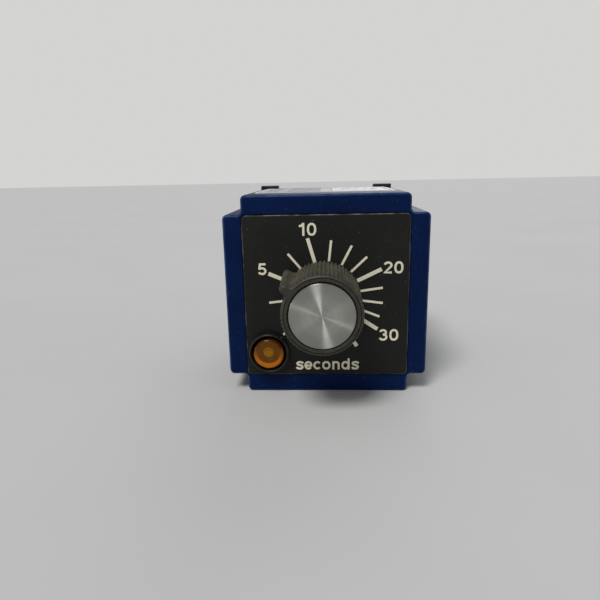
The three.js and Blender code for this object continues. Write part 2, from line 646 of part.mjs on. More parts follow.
function makePinBoard() {
  const half = PIN_BOARD_SIDE / 2;
  let board = block(
    [-half, PIN_BOARD_FRONT_Y, CENTRE_Z - half],
    [half, PIN_BOARD_REAR_Y, CENTRE_Z + half],
  );
  for (const axis of pinAxes) {
    board = board.subtract(rod(pinHoleRadius, pinFrontY - CLEARANCE / 2, PIN_BOARD_REAR_Y + CUT, axis, 16));
  }
  return board;
}
piece('pin_board', makePinBoard(), boardLaminate);

// The timer board runs the whole way, beside the potentiometer. The power board stops behind the lamp.
const boardLowZ = FLOOR_Z + BOARD_EDGE_GAP;
const boardHighZ = ROOF_Z - BOARD_EDGE_GAP;
const timerBoardFace = TIMER_BOARD_X + BOARD_THICKNESS; // its outer face
const powerBoardFace = POWER_BOARD_X - BOARD_THICKNESS;
const powerBoardFrontY = barrelRearY + 4;
piece('timer_board', block(
  [TIMER_BOARD_X, CAVITY_Y + BOARD_EDGE_GAP, boardLowZ],
  [timerBoardFace, PIN_BOARD_FRONT_Y, boardHighZ],
), boardLaminate);
piece('power_board', block(
  [powerBoardFace, powerBoardFrontY, boardLowZ],
  [POWER_BOARD_X, PIN_BOARD_FRONT_Y, boardHighZ],
), boardLaminate);

// The lamp's two leads run back to the power board, one along each of its faces.
[[powerBoardFace, -1], [POWER_BOARD_X, 1]].forEach(([face, side], index) => {
  const [lampX, lampZ] = LAMP_AXIS;
  const along = face + side * (LEAD_RADIUS + CLEARANCE);
  const start = bulbRearY + CLEARANCE;
  const route = new THREE.CatmullRomCurve3([
    new THREE.Vector3(lampX + side * 0.9, start, lampZ),
    new THREE.Vector3(lampX + side * 0.9, start + 1.5, lampZ),
    new THREE.Vector3((lampX + side * 0.9 + along) / 2, (barrelRearY + powerBoardFrontY) / 2, lampZ),
    new THREE.Vector3(along, powerBoardFrontY + 0.2, lampZ),
    new THREE.Vector3(along, powerBoardFrontY + 3, lampZ),
  ]);
  const section = new THREE.Shape().absarc(0, 0, LEAD_RADIUS, 0, 2 * Math.PI);
  const geometry = new THREE.ExtrudeGeometry(section, { steps: 16, curveSegments: 4, extrudePath: route });
  piece(`lamp_lead_${index + 1}`, solid(geometry), copper);
});

// ---- relay --------------------------------------------------------------------------------------

const relayHalfWidth = RELAY_WIDTH / 2;
const relayHalfHeight = RELAY_HEIGHT / 2;
const yokeX = -relayHalfWidth + COVER_WALL + 1; // outer face of the upright leg
const yokeTopY = RELAY_BASE_Y - YOKE_RISE;
const yokeFootY = RELAY_BASE_Y - YOKE_THICKNESS;
const coilX = yokeX + YOKE_THICKNESS + CLEARANCE + BOBBIN_RADIUS;
const coilAxis = [coilX, CENTRE_Z];
const hingeX = yokeX + YOKE_THICKNESS / 2;
const poleFaceY = yokeTopY + CLEARANCE;
const armatureReach = coilX + POLE_RADIUS + 0.4 - hingeX;

piece('relay_base', block(
  [-relayHalfWidth, RELAY_BASE_Y, CENTRE_Z - relayHalfHeight],
  [relayHalfWidth, PIN_BOARD_FRONT_Y, CENTRE_Z + relayHalfHeight],
), blackPlastic);

piece('relay_yoke', block(
  [yokeX, yokeTopY, CENTRE_Z - YOKE_HALF_HEIGHT],
  [yokeX + YOKE_THICKNESS, RELAY_BASE_Y, CENTRE_Z + YOKE_HALF_HEIGHT],
).add(block(
  [yokeX, yokeFootY, CENTRE_Z - YOKE_HALF_HEIGHT],
  [coilX + POLE_RADIUS, RELAY_BASE_Y, CENTRE_Z + YOKE_HALF_HEIGHT],
)), steel);

piece('relay_core', turned([
  [0, poleFaceY], [POLE_RADIUS, poleFaceY], [POLE_RADIUS, poleFaceY + POLE_THICKNESS],
  [CORE_RADIUS, poleFaceY + POLE_THICKNESS], [CORE_RADIUS, yokeFootY], [0, yokeFootY],
], coilAxis, 24), steel);

const bobbinTopY = poleFaceY + POLE_THICKNESS + CLEARANCE;
const bobbinBore = CORE_RADIUS + CLEARANCE;
const bobbinTube = bobbinBore + BOBBIN_TUBE;
piece('relay_bobbin', turned([
  [bobbinBore, bobbinTopY], [BOBBIN_RADIUS, bobbinTopY], [BOBBIN_RADIUS, bobbinTopY + BOBBIN_FLANGE],
  [bobbinTube, bobbinTopY + BOBBIN_FLANGE], [bobbinTube, yokeFootY - BOBBIN_FLANGE],
  [BOBBIN_RADIUS, yokeFootY - BOBBIN_FLANGE], [BOBBIN_RADIUS, yokeFootY], [bobbinBore, yokeFootY],
  [bobbinBore, bobbinTopY],
], coilAxis, 24), whitePlastic);

piece('relay_winding', tube(
  bobbinTube + CLEARANCE, BOBBIN_RADIUS - CLEARANCE,
  bobbinTopY + BOBBIN_FLANGE + CLEARANCE, yokeFootY - BOBBIN_FLANGE - CLEARANCE, coilAxis, 24,
), copper);

// The armature's group stands on the yoke's top edge, tipped open by its whole travel.
const armatureGroup = new THREE.Group();
armatureGroup.position.set(hingeX, yokeTopY, CENTRE_Z);
armatureGroup.rotation.z = -radians(ARMATURE_TRAVEL);
group.add(armatureGroup);
const armatureTopY = -CLEARANCE - ARMATURE_THICKNESS;
piece('relay_armature', block(
  [-YOKE_THICKNESS / 2, armatureTopY, -YOKE_HALF_HEIGHT],
  [armatureReach, -CLEARANCE, YOKE_HALF_HEIGHT],
), steel, armatureGroup);

// The contact arm lies on the armature and reaches past it, between the two fixed contacts.
const postX = relayHalfWidth - COVER_WALL - CLEARANCE - CONTACT_STRIP; // inner face of the posts
const armEnd = postX - hingeX - 0.9;
piece('relay_contact_arm', block(
  [YOKE_THICKNESS, armatureTopY - CONTACT_STRIP, -CONTACT_HALF_HEIGHT],
  [armEnd, armatureTopY, CONTACT_HALF_HEIGHT],
), copper, armatureGroup);

// How far along Y the arm's tip travels, and where its faces are when it is pulled in.
const tipSwing = Math.tan(radians(ARMATURE_TRAVEL)) * armEnd;
const tipPulledY = yokeTopY + armatureTopY;
const openContactY = tipPulledY + CLEARANCE;
const closedContactY = tipPulledY - CONTACT_STRIP - tipSwing - CLEARANCE;
const strip = (lowZ, highZ, faceY, thicknessSide) => {
  const tabOther = faceY + thicknessSide * CONTACT_STRIP;
  const top = Math.min(faceY, tabOther);
  return block([postX, top, lowZ], [postX + CONTACT_STRIP, RELAY_BASE_Y, highZ]).add(block(
    [postX - CONTACT_TAB, top, lowZ],
    [postX + CONTACT_STRIP, Math.max(faceY, tabOther), highZ],
  ));
};
piece('relay_contact_open', strip(
  CENTRE_Z - CONTACT_HALF_HEIGHT, CENTRE_Z - CLEARANCE, openContactY, 1,
), brass);
piece('relay_contact_closed', strip(
  CENTRE_Z + CLEARANCE, CENTRE_Z + CONTACT_HALF_HEIGHT, closedContactY, -1,
), brass);

const springX = yokeX - CLEARANCE;
piece('relay_hinge_spring', block(
  [springX - 0.4, yokeTopY - 2.2, CENTRE_Z - 2],
  [springX, RELAY_BASE_Y, CENTRE_Z + 2],
), steel);

const coverFrontY = PIN_BOARD_FRONT_Y - RELAY_RISE;
piece('relay_cover', block(
  [-relayHalfWidth, coverFrontY, CENTRE_Z - relayHalfHeight],
  [relayHalfWidth, RELAY_BASE_Y, CENTRE_Z + relayHalfHeight],
).subtract(block(
  [-relayHalfWidth + COVER_WALL, coverFrontY + COVER_WALL, CENTRE_Z - relayHalfHeight + COVER_WALL],
  [relayHalfWidth - COVER_WALL, RELAY_BASE_Y + CUT, CENTRE_Z + relayHalfHeight - COVER_WALL],
)), clearPlastic);

// ---- parts on the upright boards ----------------------------------------------------------------

// A block that stands on a board's face, side +1 or -1, with its rear edge on a Y plane.
function onBoard(face, side, [out, alongY, alongZ], rearY, middleZ) {
  const [x0, x1] = [Math.min(face, face + side * out), Math.max(face, face + side * out)];
  return block([x0, rearY - alongY, middleZ - alongZ / 2], [x1, rearY, middleZ + alongZ / 2]);
}

const partRearY = PIN_BOARD_FRONT_Y - 2;
const upperRowZ = CENTRE_Z + 11;
const lowerRowZ = CENTRE_Z - 11;
piece('timing_capacitor', onBoard(
  timerBoardFace, 1, TIMING_CAPACITOR_SIZE, partRearY, upperRowZ,
), capacitorFilm);
piece('timer_chip', onBoard(timerBoardFace, 1, CHIP_SIZE, partRearY, lowerRowZ), blackPlastic);

const transistorY = partRearY - TIMING_CAPACITOR_SIZE[1] - TRANSISTOR_RADIUS - 2;
piece('driver_transistor', lying(
  TRANSISTOR_RADIUS, 4.6, 'z', [timerBoardFace + TRANSISTOR_FLAT, transistorY, upperRowZ], 20,
).subtract(block(
  [timerBoardFace - 10, transistorY - 10, upperRowZ - 10],
  [timerBoardFace, transistorY + 10, upperRowZ + 10],
)), blackPlastic);

// The trimmer's wheel turns in a round seat in its body.
const trimmerY = partRearY - CHIP_SIZE[1] - TRIMMER_SIDE / 2 - 2;
const trimmerTopX = timerBoardFace + TRIMMER_THICKNESS;
const wheelSeatX = trimmerTopX - TRIMMER_WHEEL_THICKNESS + 0.3;
const trimmerCentre = (x) => [x, trimmerY, lowerRowZ];
piece('trimmer_body', onBoard(
  timerBoardFace, 1, [TRIMMER_THICKNESS, TRIMMER_SIDE, TRIMMER_SIDE], trimmerY + TRIMMER_SIDE / 2, lowerRowZ,
).subtract(lying(
  TRIMMER_WHEEL_RADIUS + CLEARANCE, 4, 'x', trimmerCentre(wheelSeatX - CLEARANCE + 2),
)), capacitorSleeve);
piece('trimmer_wheel', lying(
  TRIMMER_WHEEL_RADIUS, TRIMMER_WHEEL_THICKNESS, 'x', trimmerCentre(wheelSeatX + TRIMMER_WHEEL_THICKNESS / 2),
).subtract(block(
  [wheelSeatX + TRIMMER_WHEEL_THICKNESS / 2, trimmerY - 5, lowerRowZ - TRIMMER_SLOT / 2],
  [wheelSeatX + 5, trimmerY + 5, lowerRowZ + TRIMMER_SLOT / 2],
)), whitePlastic);

piece('smoothing_capacitor', lying(
  SMOOTHING_RADIUS, SMOOTHING_LENGTH, 'z',
  [powerBoardFace - CLEARANCE - SMOOTHING_RADIUS, partRearY - SMOOTHING_RADIUS, upperRowZ],
), capacitorSleeve);
piece('dropper_capacitor', onBoard(
  powerBoardFace, -1, DROPPER_CAPACITOR_SIZE, partRearY, lowerRowZ + 1,
), capacitorFilm);
piece('rectifier', lying(
  RECTIFIER_RADIUS, RECTIFIER_LENGTH, 'z',
  [powerBoardFace - CLEARANCE - RECTIFIER_RADIUS, powerBoardFrontY + 2.4, upperRowZ + 3.6], 16,
), blackPlastic);
piece('lamp_resistor', lying(
  RESISTOR_RADIUS, RESISTOR_LENGTH, 'z',
  [powerBoardFace - CLEARANCE - RESISTOR_RADIUS, powerBoardFrontY + 2.4, upperRowZ - 3.6], 16,
), phenolic);

export default group;
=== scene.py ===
# %% [markdown]
# # A plug-in interval timer
#
# This lesson dresses the solid model of a small timer module: a blue moulded case with a black
# printed face, a fluted knob capped with spun aluminium, an amber neon lamp, and a round pin plug at
# the back. The solid model fixes every size and place. Each visible piece could be left as that
# solid, but its edges are knife sharp and its curves have flats, so here the pieces are built again as
# fine surfaces, worked out with numpy, and each gets a finish made of nodes.

# %% Load the frame
import json
import math
import bmesh
import bpy
import numpy as np
from mathutils import Matrix, Vector


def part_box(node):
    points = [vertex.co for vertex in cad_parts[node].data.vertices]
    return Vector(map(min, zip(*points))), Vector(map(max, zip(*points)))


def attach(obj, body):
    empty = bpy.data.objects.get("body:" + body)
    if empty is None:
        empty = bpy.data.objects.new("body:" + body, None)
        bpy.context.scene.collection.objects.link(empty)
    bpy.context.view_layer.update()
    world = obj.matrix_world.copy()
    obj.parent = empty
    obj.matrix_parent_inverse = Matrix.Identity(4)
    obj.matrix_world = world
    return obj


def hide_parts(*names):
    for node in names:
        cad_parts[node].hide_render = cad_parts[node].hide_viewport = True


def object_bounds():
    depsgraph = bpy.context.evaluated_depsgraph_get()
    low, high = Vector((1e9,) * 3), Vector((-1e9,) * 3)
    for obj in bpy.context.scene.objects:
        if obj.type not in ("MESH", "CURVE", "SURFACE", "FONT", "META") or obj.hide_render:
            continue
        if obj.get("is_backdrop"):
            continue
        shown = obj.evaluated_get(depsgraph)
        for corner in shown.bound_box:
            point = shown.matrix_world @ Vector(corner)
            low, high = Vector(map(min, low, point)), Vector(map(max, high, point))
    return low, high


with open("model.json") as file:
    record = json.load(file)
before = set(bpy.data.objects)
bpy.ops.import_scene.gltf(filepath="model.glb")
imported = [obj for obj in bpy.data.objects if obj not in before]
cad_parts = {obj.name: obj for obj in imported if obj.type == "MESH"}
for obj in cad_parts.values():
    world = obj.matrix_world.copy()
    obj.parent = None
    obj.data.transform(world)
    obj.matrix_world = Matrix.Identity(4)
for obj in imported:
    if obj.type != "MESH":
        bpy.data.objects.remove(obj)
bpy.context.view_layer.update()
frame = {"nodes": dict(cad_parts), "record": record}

# %% [markdown]
# ## Planes and axes
#
# Everything is drawn in millimetres, and each mesh is turned to metres in one place. The planes and
# axes could be typed in again, but then a change to the solids would leave the surfaces behind. So
# they are read from the boxes of the solids.

# %% Planes and axes from the frame
MM = 0.001


def node_box(name):
    """The lowest and highest corner of a solid, in millimetres."""
    low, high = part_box(name)
    return np.array(low) / MM, np.array(high) / MM


def axis_of(name):
    """Where a turned solid's axis crosses the X and Z plane, in millimetres."""
    low, high = node_box(name)
    return (low[0] + high[0]) / 2, (low[2] + high[2]) / 2


def radius_of(name):
    """Half of a solid's width, in millimetres."""
    low, high = node_box(name)
    return (high[0] - low[0]) / 2


case_low, case_high = node_box("housing")
plate_low, plate_high = node_box("face_plate")
front_y, rear_y = case_low[1], case_high[1]
case_half = radius_of("housing")
centre_z = (case_low[2] + case_high[2]) / 2
plate_front = plate_low[1]
knob_axis = axis_of("knob_cap")
lamp_axis = axis_of("lamp_bezel")
print(f"case {2 * case_half:.1f} mm square and {rear_y - front_y:.1f} mm deep")

# %% [markdown]
# ## How a surface becomes a mesh
#
# Most pieces are a stack of rings: each ring has the same number of points, and neighbouring rings
# are joined by four-sided faces. A ring may shrink to a point at a pole. A modelling tool such as
# Spin could make the round ones, but a ring can have any outline, so one helper serves for the case,
# the knob and the lamp alike. Merging the doubled points closes seams and poles, and the faces are
# then turned outwards.

# %% Ring surfaces
CRISP = 32  # degrees; an edge that turns by more than this stays crisp


def ring_faces(rings, points, looped=False):
    """Four-sided faces between ring i and ring i + 1, from point j to point j + 1 round the ring."""
    last = rings if looped else rings - 1
    i, j = np.meshgrid(np.arange(last), np.arange(points), indexing="ij")
    after = (j + 1) % points
    above = ((i + 1) % rings) * points
    return np.stack([i * points + j, i * points + after, above + after, above + j], axis=-1).reshape(-1, 4)


def add_object(name, data):
    """An object of the scene, at the origin, from a mesh, a lamp or a camera."""
    obj = bpy.data.objects.new(name, data)
    bpy.context.scene.collection.objects.link(obj)
    return obj


def make_mesh(name, points, faces, crisp=CRISP, merge=1e-7):
    """A mesh object from points in millimetres. Points closer than the merging distance, in metres,
    become one, and faces point outwards."""
    mesh = bpy.data.meshes.new(name)
    mesh.from_pydata((np.asarray(points, float) * MM).tolist(), [], faces)
    work = bmesh.new()
    work.from_mesh(mesh)
    bmesh.ops.remove_doubles(work, verts=work.verts, dist=merge)
    bmesh.ops.dissolve_degenerate(work, edges=work.edges, dist=merge)
    bmesh.ops.recalc_face_normals(work, faces=work.faces)
    work.to_mesh(mesh)
    work.free()
    mesh.shade_smooth()
    mesh.set_sharp_from_angle(angle=math.radians(crisp))
    return add_object(name, mesh)


def stack(name, rings, capped=True, looped=False):
    """A closed surface from an array of rings (rings, points, 3). Capped ends get one flat face."""
    rings = np.asarray(rings, float)
    count, points = rings.shape[:2]
    faces = ring_faces(count, points, looped).tolist()
    if capped:
        faces += [list(range(points))[::-1], list(range((count - 1) * points, count * points))]
    return make_mesh(name, rings.reshape(-1, 3), faces)


# %% [markdown]
# ## Rounded corners
#
# A moulded or turned edge is never a knife edge. A Bevel modifier could round it afterwards, but a
# profile drawn with its own radii says what each edge is. This helper takes the corners of a profile,
# each with a radius, and returns the line with an arc of a few short steps at each corner.

# %% Rounded profiles and turned surfaces
def rounded(corners, closed=False, steps=6):
    """A line whose corners (x, y, radius) are arcs. An arc touches both sides at its radius divided by
    the tangent of half the corner's angle, and its points are spread by equal angles."""
    count = len(corners)
    out = []
    for i, (x, y, radius) in enumerate(corners):
        here = np.array([x, y], float)
        if radius <= 0 or (not closed and i in (0, count - 1)):
            out.append(here)
            continue
        before = np.array(corners[i - 1][:2], float) - here
        after = np.array(corners[(i + 1) % count][:2], float) - here
        u, v = before / np.linalg.norm(before), after / np.linalg.norm(after)
        half = math.acos(np.clip(u @ v, -1, 1)) / 2
        room = 0.49 * min(np.linalg.norm(before), np.linalg.norm(after))
        reach = min(radius / math.tan(half), room)
        centre = here + (u + v) / np.linalg.norm(u + v) * reach / math.cos(half)
        start, end = here + u * reach - centre, here + v * reach - centre
        sweep = math.atan2(start[0] * end[1] - start[1] * end[0], start @ end)
        turn = np.linspace(0, sweep, steps + 1)[:, None]
        out += list(centre + np.cos(turn) * start + np.sin(turn) * np.array([-start[1], start[0]]))
    return np.array(out)


def turned(name, profile, axis, points=96, looped=False):
    """A surface of revolution: a profile of (radius, y) turned round an axis along Y."""
    profile = np.asarray(profile, float)
    angle = np.linspace(0, 2 * np.pi, points, endpoint=False)
    radius, y = profile[:, :1], profile[:, 1:]
    rings = [axis[0] + radius * np.sin(angle), y + 0 * angle, axis[1] + radius * np.cos(angle)]
    return stack(name, np.stack(rings, axis=-1), False, looped)


# %% [markdown]
# ## Nodes and colours
#
# A finish is a small graph of shader nodes. It could be built by hand in the node editor, but in code
# it can be read and changed. One function adds a node, with its settings and its inputs: a number, a
# colour, or the output of another node. Colours are written as sRGB hex values, as a colour picker
# shows them, and one function turns them to the linear values that light needs. The patterns on the
# cap and on the lens follow the distance from an axis, so one small graph works that out for both.

# %% The node helper
def linear(colour):
    """An sRGB hex colour as linear RGBA: below 0.04045 divide by 12.92, above it take a 2.4 power."""
    srgb = np.array([int(colour[i:i + 2], 16) for i in (1, 3, 5)]) / 255
    value = np.where(srgb <= 0.04045, srgb / 12.92, ((srgb + 0.055) / 1.055) ** 2.4)
    return (*value.tolist(), 1.0)


def add(tree, kind, inputs, out=None, **settings):
    """Adds a node with its settings. An input is a value, a hex colour, or a socket that feeds it, by
    name or by number. Returns the named output, or the first one in use."""
    node = tree.nodes.new("ShaderNode" + kind)
    for key, value in settings.items():
        setattr(node, key, value)
    for key, value in inputs.items():
        socket = node.inputs[key] if isinstance(key, int) else next(
            s for s in node.inputs if s.name == key and s.enabled)
        if isinstance(value, bpy.types.NodeSocket):
            tree.links.new(value, socket)
        else:
            socket.default_value = linear(value) if isinstance(value, str) else value
    return node.outputs[out] if out else next((s for s in node.outputs if s.enabled), None)


def new_finish(name):
    """An empty node material, its tree, and a socket with the piece's own coordinates."""
    material = bpy.data.materials.new(name)
    material.use_nodes = True
    material.node_tree.nodes.clear()
    return material, material.node_tree, add(material.node_tree, "TexCoord", {}, "Object")


def close_finish(tree, inputs):
    """Ends a finish: a Principled shader with these inputs feeds the surface."""
    shader = add(tree, "BsdfPrincipled", inputs)
    add(tree, "OutputMaterial", {"Surface": shader})


def from_axis(tree, place, x, z):
    """Where a point lies from an axis along Y: the offset, its part across the axis, and how long that
    part is."""
    offset = add(tree, "VectorMath", {0: place, 1: (x * MM, 0, z * MM)}, operation="SUBTRACT")
    outward = add(tree, "VectorMath", {0: offset, 1: (1, 0, 1)}, operation="MULTIPLY")
    return offset, outward, add(tree, "VectorMath", {0: outward}, operation="LENGTH")


# %% [markdown]
# ## Finish: blue ABS from an etched mould
#
# The case is ABS, a tough plastic that copies the texture of its mould. Spark-etched steel leaves it
# satin, so flat faces stay a deep blue and only the rounded edges catch the light. Hands have rubbed
# the front edges paler. A painted edge map could show that, but the rounded front edge is also the
# only place where the surface lies between nought and one edge radius behind the front, so its depth
# marks it.

# %% Blue ABS
EDGE_ROUND = 0.8  # radius of the case's front edge


def etched_blue_abs():
    """Deep blue ABS. Cloudy tone 9 mm across, dust specks 0.4 mm, paler rubbed front edge. The etched
    grain is about 0.1 mm in reality, and is drawn at 0.3 mm so that it shows."""
    material, tree, place = new_finish("etched_blue_abs")
    cloud = add(tree, "TexNoise", {"Vector": place, "Scale": 1 / (9 * MM), "Detail": 4.0})
    specks = add(tree, "TexNoise", {"Vector": place, "Scale": 1 / (0.4 * MM), "Detail": 1.0})
    grain = add(tree, "TexNoise", {"Vector": place, "Scale": 1 / (0.3 * MM), "Detail": 2.0})
    rub = add(tree, "TexNoise", {"Vector": place, "Scale": 1 / (2.2 * MM), "Detail": 5.0})
    depth = add(tree, "SeparateXYZ", {"Vector": place}, "Y")
    start, end = front_y * MM, (front_y + EDGE_ROUND) * MM
    rise = add(tree, "MapRange", {"Value": depth, "From Min": start + 0.03 * MM,
                                  "From Max": start + 0.2 * MM})
    fall = add(tree, "MapRange", {"Value": depth, "From Min": end, "From Max": start + 0.3 * MM})
    band = add(tree, "Math", {0: rise, 1: fall}, operation="MULTIPLY")
    worn = add(tree, "MapRange", {"Value": rub, "From Min": 0.35, "From Max": 0.7, "To Min": 0.1,
                                  "To Max": 0.6})
    rubbed = add(tree, "Math", {0: band, 1: worn}, operation="MULTIPLY")
    dust = add(tree, "MapRange", {"Value": specks, "From Min": 0.72, "From Max": 0.8, "To Max": 0.3})
    tone = add(tree, "Mix", {"Factor": cloud, "A": "#000d32", "B": "#001c48"}, data_type="RGBA")
    edged = add(tree, "Mix", {"Factor": rubbed, "A": tone, "B": "#46628f"}, data_type="RGBA")
    dusty = add(tree, "Mix", {"Factor": dust, "A": edged, "B": "#6c7688"}, data_type="RGBA")
    rough = add(tree, "MapRange", {"Value": cloud, "From Min": 0.3, "From Max": 0.7, "To Min": 0.34,
                                   "To Max": 0.46})
    bump = add(tree, "Bump", {"Height": grain, "Distance": 0.008 * MM})
    close_finish(tree, {"Base Color": dusty, "Roughness": rough, "Normal": bump, "IOR": 1.53,
                        "Specular IOR Level": 0.08})
    return material


blue_abs = etched_blue_abs()
print("finish:", blue_abs.name)

# %% [markdown]
# ## Finish: plain mouldings
#
# The bezel, the plug base and some small parts inside are plain plastic in one colour. They could
# share one material, but a moulded face is satin while a coat that was dipped or shrunk on is glossy
# and holds less dust. So one recipe takes a colour, the colour of its dull patches, how large they
# are, and how rough the surface is.

# %% Plain mouldings
def moulded(name, colour, dulled, patch_mm, rough, dust="#8b8981", dusty=0.25):
    """Moulded plastic: tone in patches, fine dust 0.45 mm across, and a moulding grain. The grain is
    drawn at 0.35 mm, about three times coarser than real, so that it shows."""
    material, tree, place = new_finish(name)
    patches = add(tree, "TexNoise", {"Vector": place, "Scale": 1 / (patch_mm * MM), "Detail": 5.0})
    specks = add(tree, "TexNoise", {"Vector": place, "Scale": 1 / (0.45 * MM), "Detail": 1.0})
    grain = add(tree, "TexNoise", {"Vector": place, "Scale": 1 / (0.35 * MM), "Detail": 2.0})
    share = add(tree, "MapRange", {"Value": patches, "From Min": 0.4, "From Max": 0.68})
    fleck = add(tree, "MapRange", {"Value": specks, "From Min": 0.7, "From Max": 0.8, "To Max": dusty})
    tone = add(tree, "Mix", {"Factor": share, "A": colour, "B": dulled}, data_type="RGBA")
    final = add(tree, "Mix", {"Factor": fleck, "A": tone, "B": dust}, data_type="RGBA")
    gloss = add(tree, "MapRange", {"Value": share, "To Min": rough[0], "To Max": rough[1]})
    bump = add(tree, "Bump", {"Height": grain, "Distance": 0.006 * MM})
    close_finish(tree, {"Base Color": final, "Roughness": gloss, "Normal": bump, "IOR": 1.53,
                        "Specular IOR Level": 0.3})
    return material


black_abs = moulded("black_abs_moulding", "#111110", "#1b1b1a", 5, (0.34, 0.46))
white_nylon = moulded("white_nylon_moulding", "#d6d2c4", "#c6c1b1", 4, (0.4, 0.5))
dipped_red = moulded("dipped_epoxy_coat", "#83261a", "#963325", 2, (0.14, 0.24), dusty=0.05)
blue_sleeve = moulded("shrunk_vinyl_sleeve", "#1b2a54", "#273763", 3, (0.18, 0.28), dusty=0.05)
print("plain mouldings:", black_abs.name, white_nylon.name, dipped_red.name, blue_sleeve.name)

# %% [markdown]
# ## Finish: the handled knob
#
# The knob is moulded in the same black plastic as the bezel, but fingers have been at it. They keep
# its front rim clean and leave brown dust and skin oil on the ribs. That could be a painted mask, but
# the ribs rise within a millimetre behind the front, so depth tells rim from ribs.

# %% Handled knob
def handled_knob(front):
    """Black ABS, darker on the rim and dusty on the ribs: the dust grows with the distance behind the
    front, and breaks up in patches 2.6 mm across and specks 0.4 mm across."""
    material, tree, place = new_finish("handled_knob_moulding")
    patches = add(tree, "TexNoise", {"Vector": place, "Scale": 1 / (2.6 * MM), "Detail": 5.0})
    specks = add(tree, "TexNoise", {"Vector": place, "Scale": 1 / (0.4 * MM), "Detail": 2.0})
    depth = add(tree, "SeparateXYZ", {"Vector": place}, "Y")
    behind = add(tree, "MapRange", {"Value": depth, "From Min": front * MM, "From Max": (front + 3) * MM,
                                    "To Min": 0.25})
    uneven = add(tree, "MapRange", {"Value": patches, "From Min": 0.3, "From Max": 0.65, "To Min": 0.3})
    dust = add(tree, "Math", {0: behind, 1: uneven}, operation="MULTIPLY")
    tone = add(tree, "Mix", {"Factor": dust, "A": "#1e1d19", "B": "#575244"}, data_type="RGBA")
    fleck = add(tree, "MapRange", {"Value": specks, "From Min": 0.66, "From Max": 0.8, "To Max": 0.4})
    final = add(tree, "Mix", {"Factor": fleck, "A": tone, "B": "#98927e"}, data_type="RGBA")
    rough = add(tree, "MapRange", {"Value": dust, "To Min": 0.44, "To Max": 0.7})
    bump = add(tree, "Bump", {"Height": specks, "Distance": 0.008 * MM})
    close_finish(tree, {"Base Color": final, "Roughness": rough, "Normal": bump, "IOR": 1.53,
                        "Specular IOR Level": 0.3})
    return material


knob_low, knob_high = node_box("knob_body")
knob_front, knob_rear = knob_low[1], knob_high[1]
knob_abs = handled_knob(knob_front)
print("finish:", knob_abs.name)

# %% [markdown]
# ## Finish: the coated face
#
# The face is a sheet coated satin black. It could be plain black, but years of handling leave
# hair-fine scuffs in every direction and a few pale specks. A scuff is a noise pattern stretched
# along one way, so two of them are crossed. The eased front edge is painted pale, a painted highlight.

# %% Face coating
FACE_EASE = 0.28  # round of the face's front edge


def face_coating_and_painted_edge():
    """Near-black satin: cloudy tone, two crossed sets of stretched scuffs about 4 mm long, and specks.
    The eased edge, marked by depth, gets a pale painted highlight in patches."""
    material, tree, place = new_finish("satin_black_face_coating")
    cloud = add(tree, "TexNoise", {"Vector": place, "Scale": 1 / (8 * MM), "Detail": 4.0})
    specks = add(tree, "TexNoise", {"Vector": place, "Scale": 1 / (0.38 * MM), "Detail": 1.0})
    grain = add(tree, "TexNoise", {"Vector": place, "Scale": 1 / (0.3 * MM), "Detail": 1.0})
    tone = add(tree, "Mix", {"Factor": cloud, "A": "#10110f", "B": "#191a17"}, data_type="RGBA")
    for lean in (0.5, -1.1):
        along = add(tree, "Mapping", {"Vector": place, "Rotation": (0, lean, 0), "Scale": (1, 1, 22)})
        scuffs = add(tree, "TexNoise", {"Vector": along, "Scale": 1 / (4 * MM), "Detail": 4.0})
        marks = add(tree, "MapRange", {"Value": scuffs, "From Min": 0.7, "From Max": 0.8, "To Max": 0.16})
        tone = add(tree, "Mix", {"Factor": marks, "A": tone, "B": "#64645c"}, data_type="RGBA")
    fleck = add(tree, "MapRange", {"Value": specks, "From Min": 0.74, "From Max": 0.82, "To Max": 0.4})
    specked = add(tree, "Mix", {"Factor": fleck, "A": tone, "B": "#85857c"}, data_type="RGBA")
    # painted highlight: the pale band on the eased edge stands for the light that edge catches
    depth = add(tree, "SeparateXYZ", {"Vector": place}, "Y")
    start = plate_front * MM
    rubbed = add(tree, "MapRange", {"Value": depth, "From Min": start + 0.01 * MM,
                                    "From Max": start + 0.1 * MM})
    rub = add(tree, "TexNoise", {"Vector": place, "Scale": 1 / (3 * MM), "Detail": 3.0})
    patchy_painted_highlight = add(tree, "MapRange", {"Value": rub, "From Min": 0.42, "From Max": 0.7, "To Min": 0.05})
    worn = add(tree, "Math", {0: rubbed, 1: patchy_painted_highlight}, operation="MULTIPLY")
    # 8f8a7c is the colour of the painted highlight on the eased edge
    final = add(tree, "Mix", {"Factor": worn, "A": specked, "B": "#8f8a7c"}, data_type="RGBA")
    rough = add(tree, "MapRange", {"Value": cloud, "From Min": 0.3, "From Max": 0.7, "To Min": 0.4,
                                   "To Max": 0.54})
    bump = add(tree, "Bump", {"Height": grain, "Distance": 0.004 * MM})
    close_finish(tree, {"Base Color": final, "Roughness": rough, "Normal": bump, "IOR": 1.5,
                        "Specular IOR Level": 0.2})
    return material


face_black_and_painted_edge = face_coating_and_painted_edge()
print("finish:", face_black_and_painted_edge.name)

# %% [markdown]
# ## Finish: screen ink
#
# The face and the label are screen printed, in cream and in grey. A flat colour would do from afar,
# but ink pressed through a mesh dries a little unevenly, and a fine mottling gives it that look.

# %% Screen ink
def screen_ink(name, colour, thin):
    """Ink: its colour, and the colour where it is thin, in a mottling 0.2 mm across."""
    material, tree, place = new_finish(name)
    mottle = add(tree, "TexNoise", {"Vector": place, "Scale": 1 / (0.2 * MM), "Detail": 3.0})
    share = add(tree, "MapRange", {"Value": mottle, "From Min": 0.3, "From Max": 0.75})
    tone = add(tree, "Mix", {"Factor": share, "A": colour, "B": thin}, data_type="RGBA")
    bump = add(tree, "Bump", {"Height": mottle, "Distance": 0.004 * MM})
    close_finish(tree, {"Base Color": tone, "Roughness": 0.62, "Normal": bump, "IOR": 1.5,
                        "Specular IOR Level": 0.3})
    return material


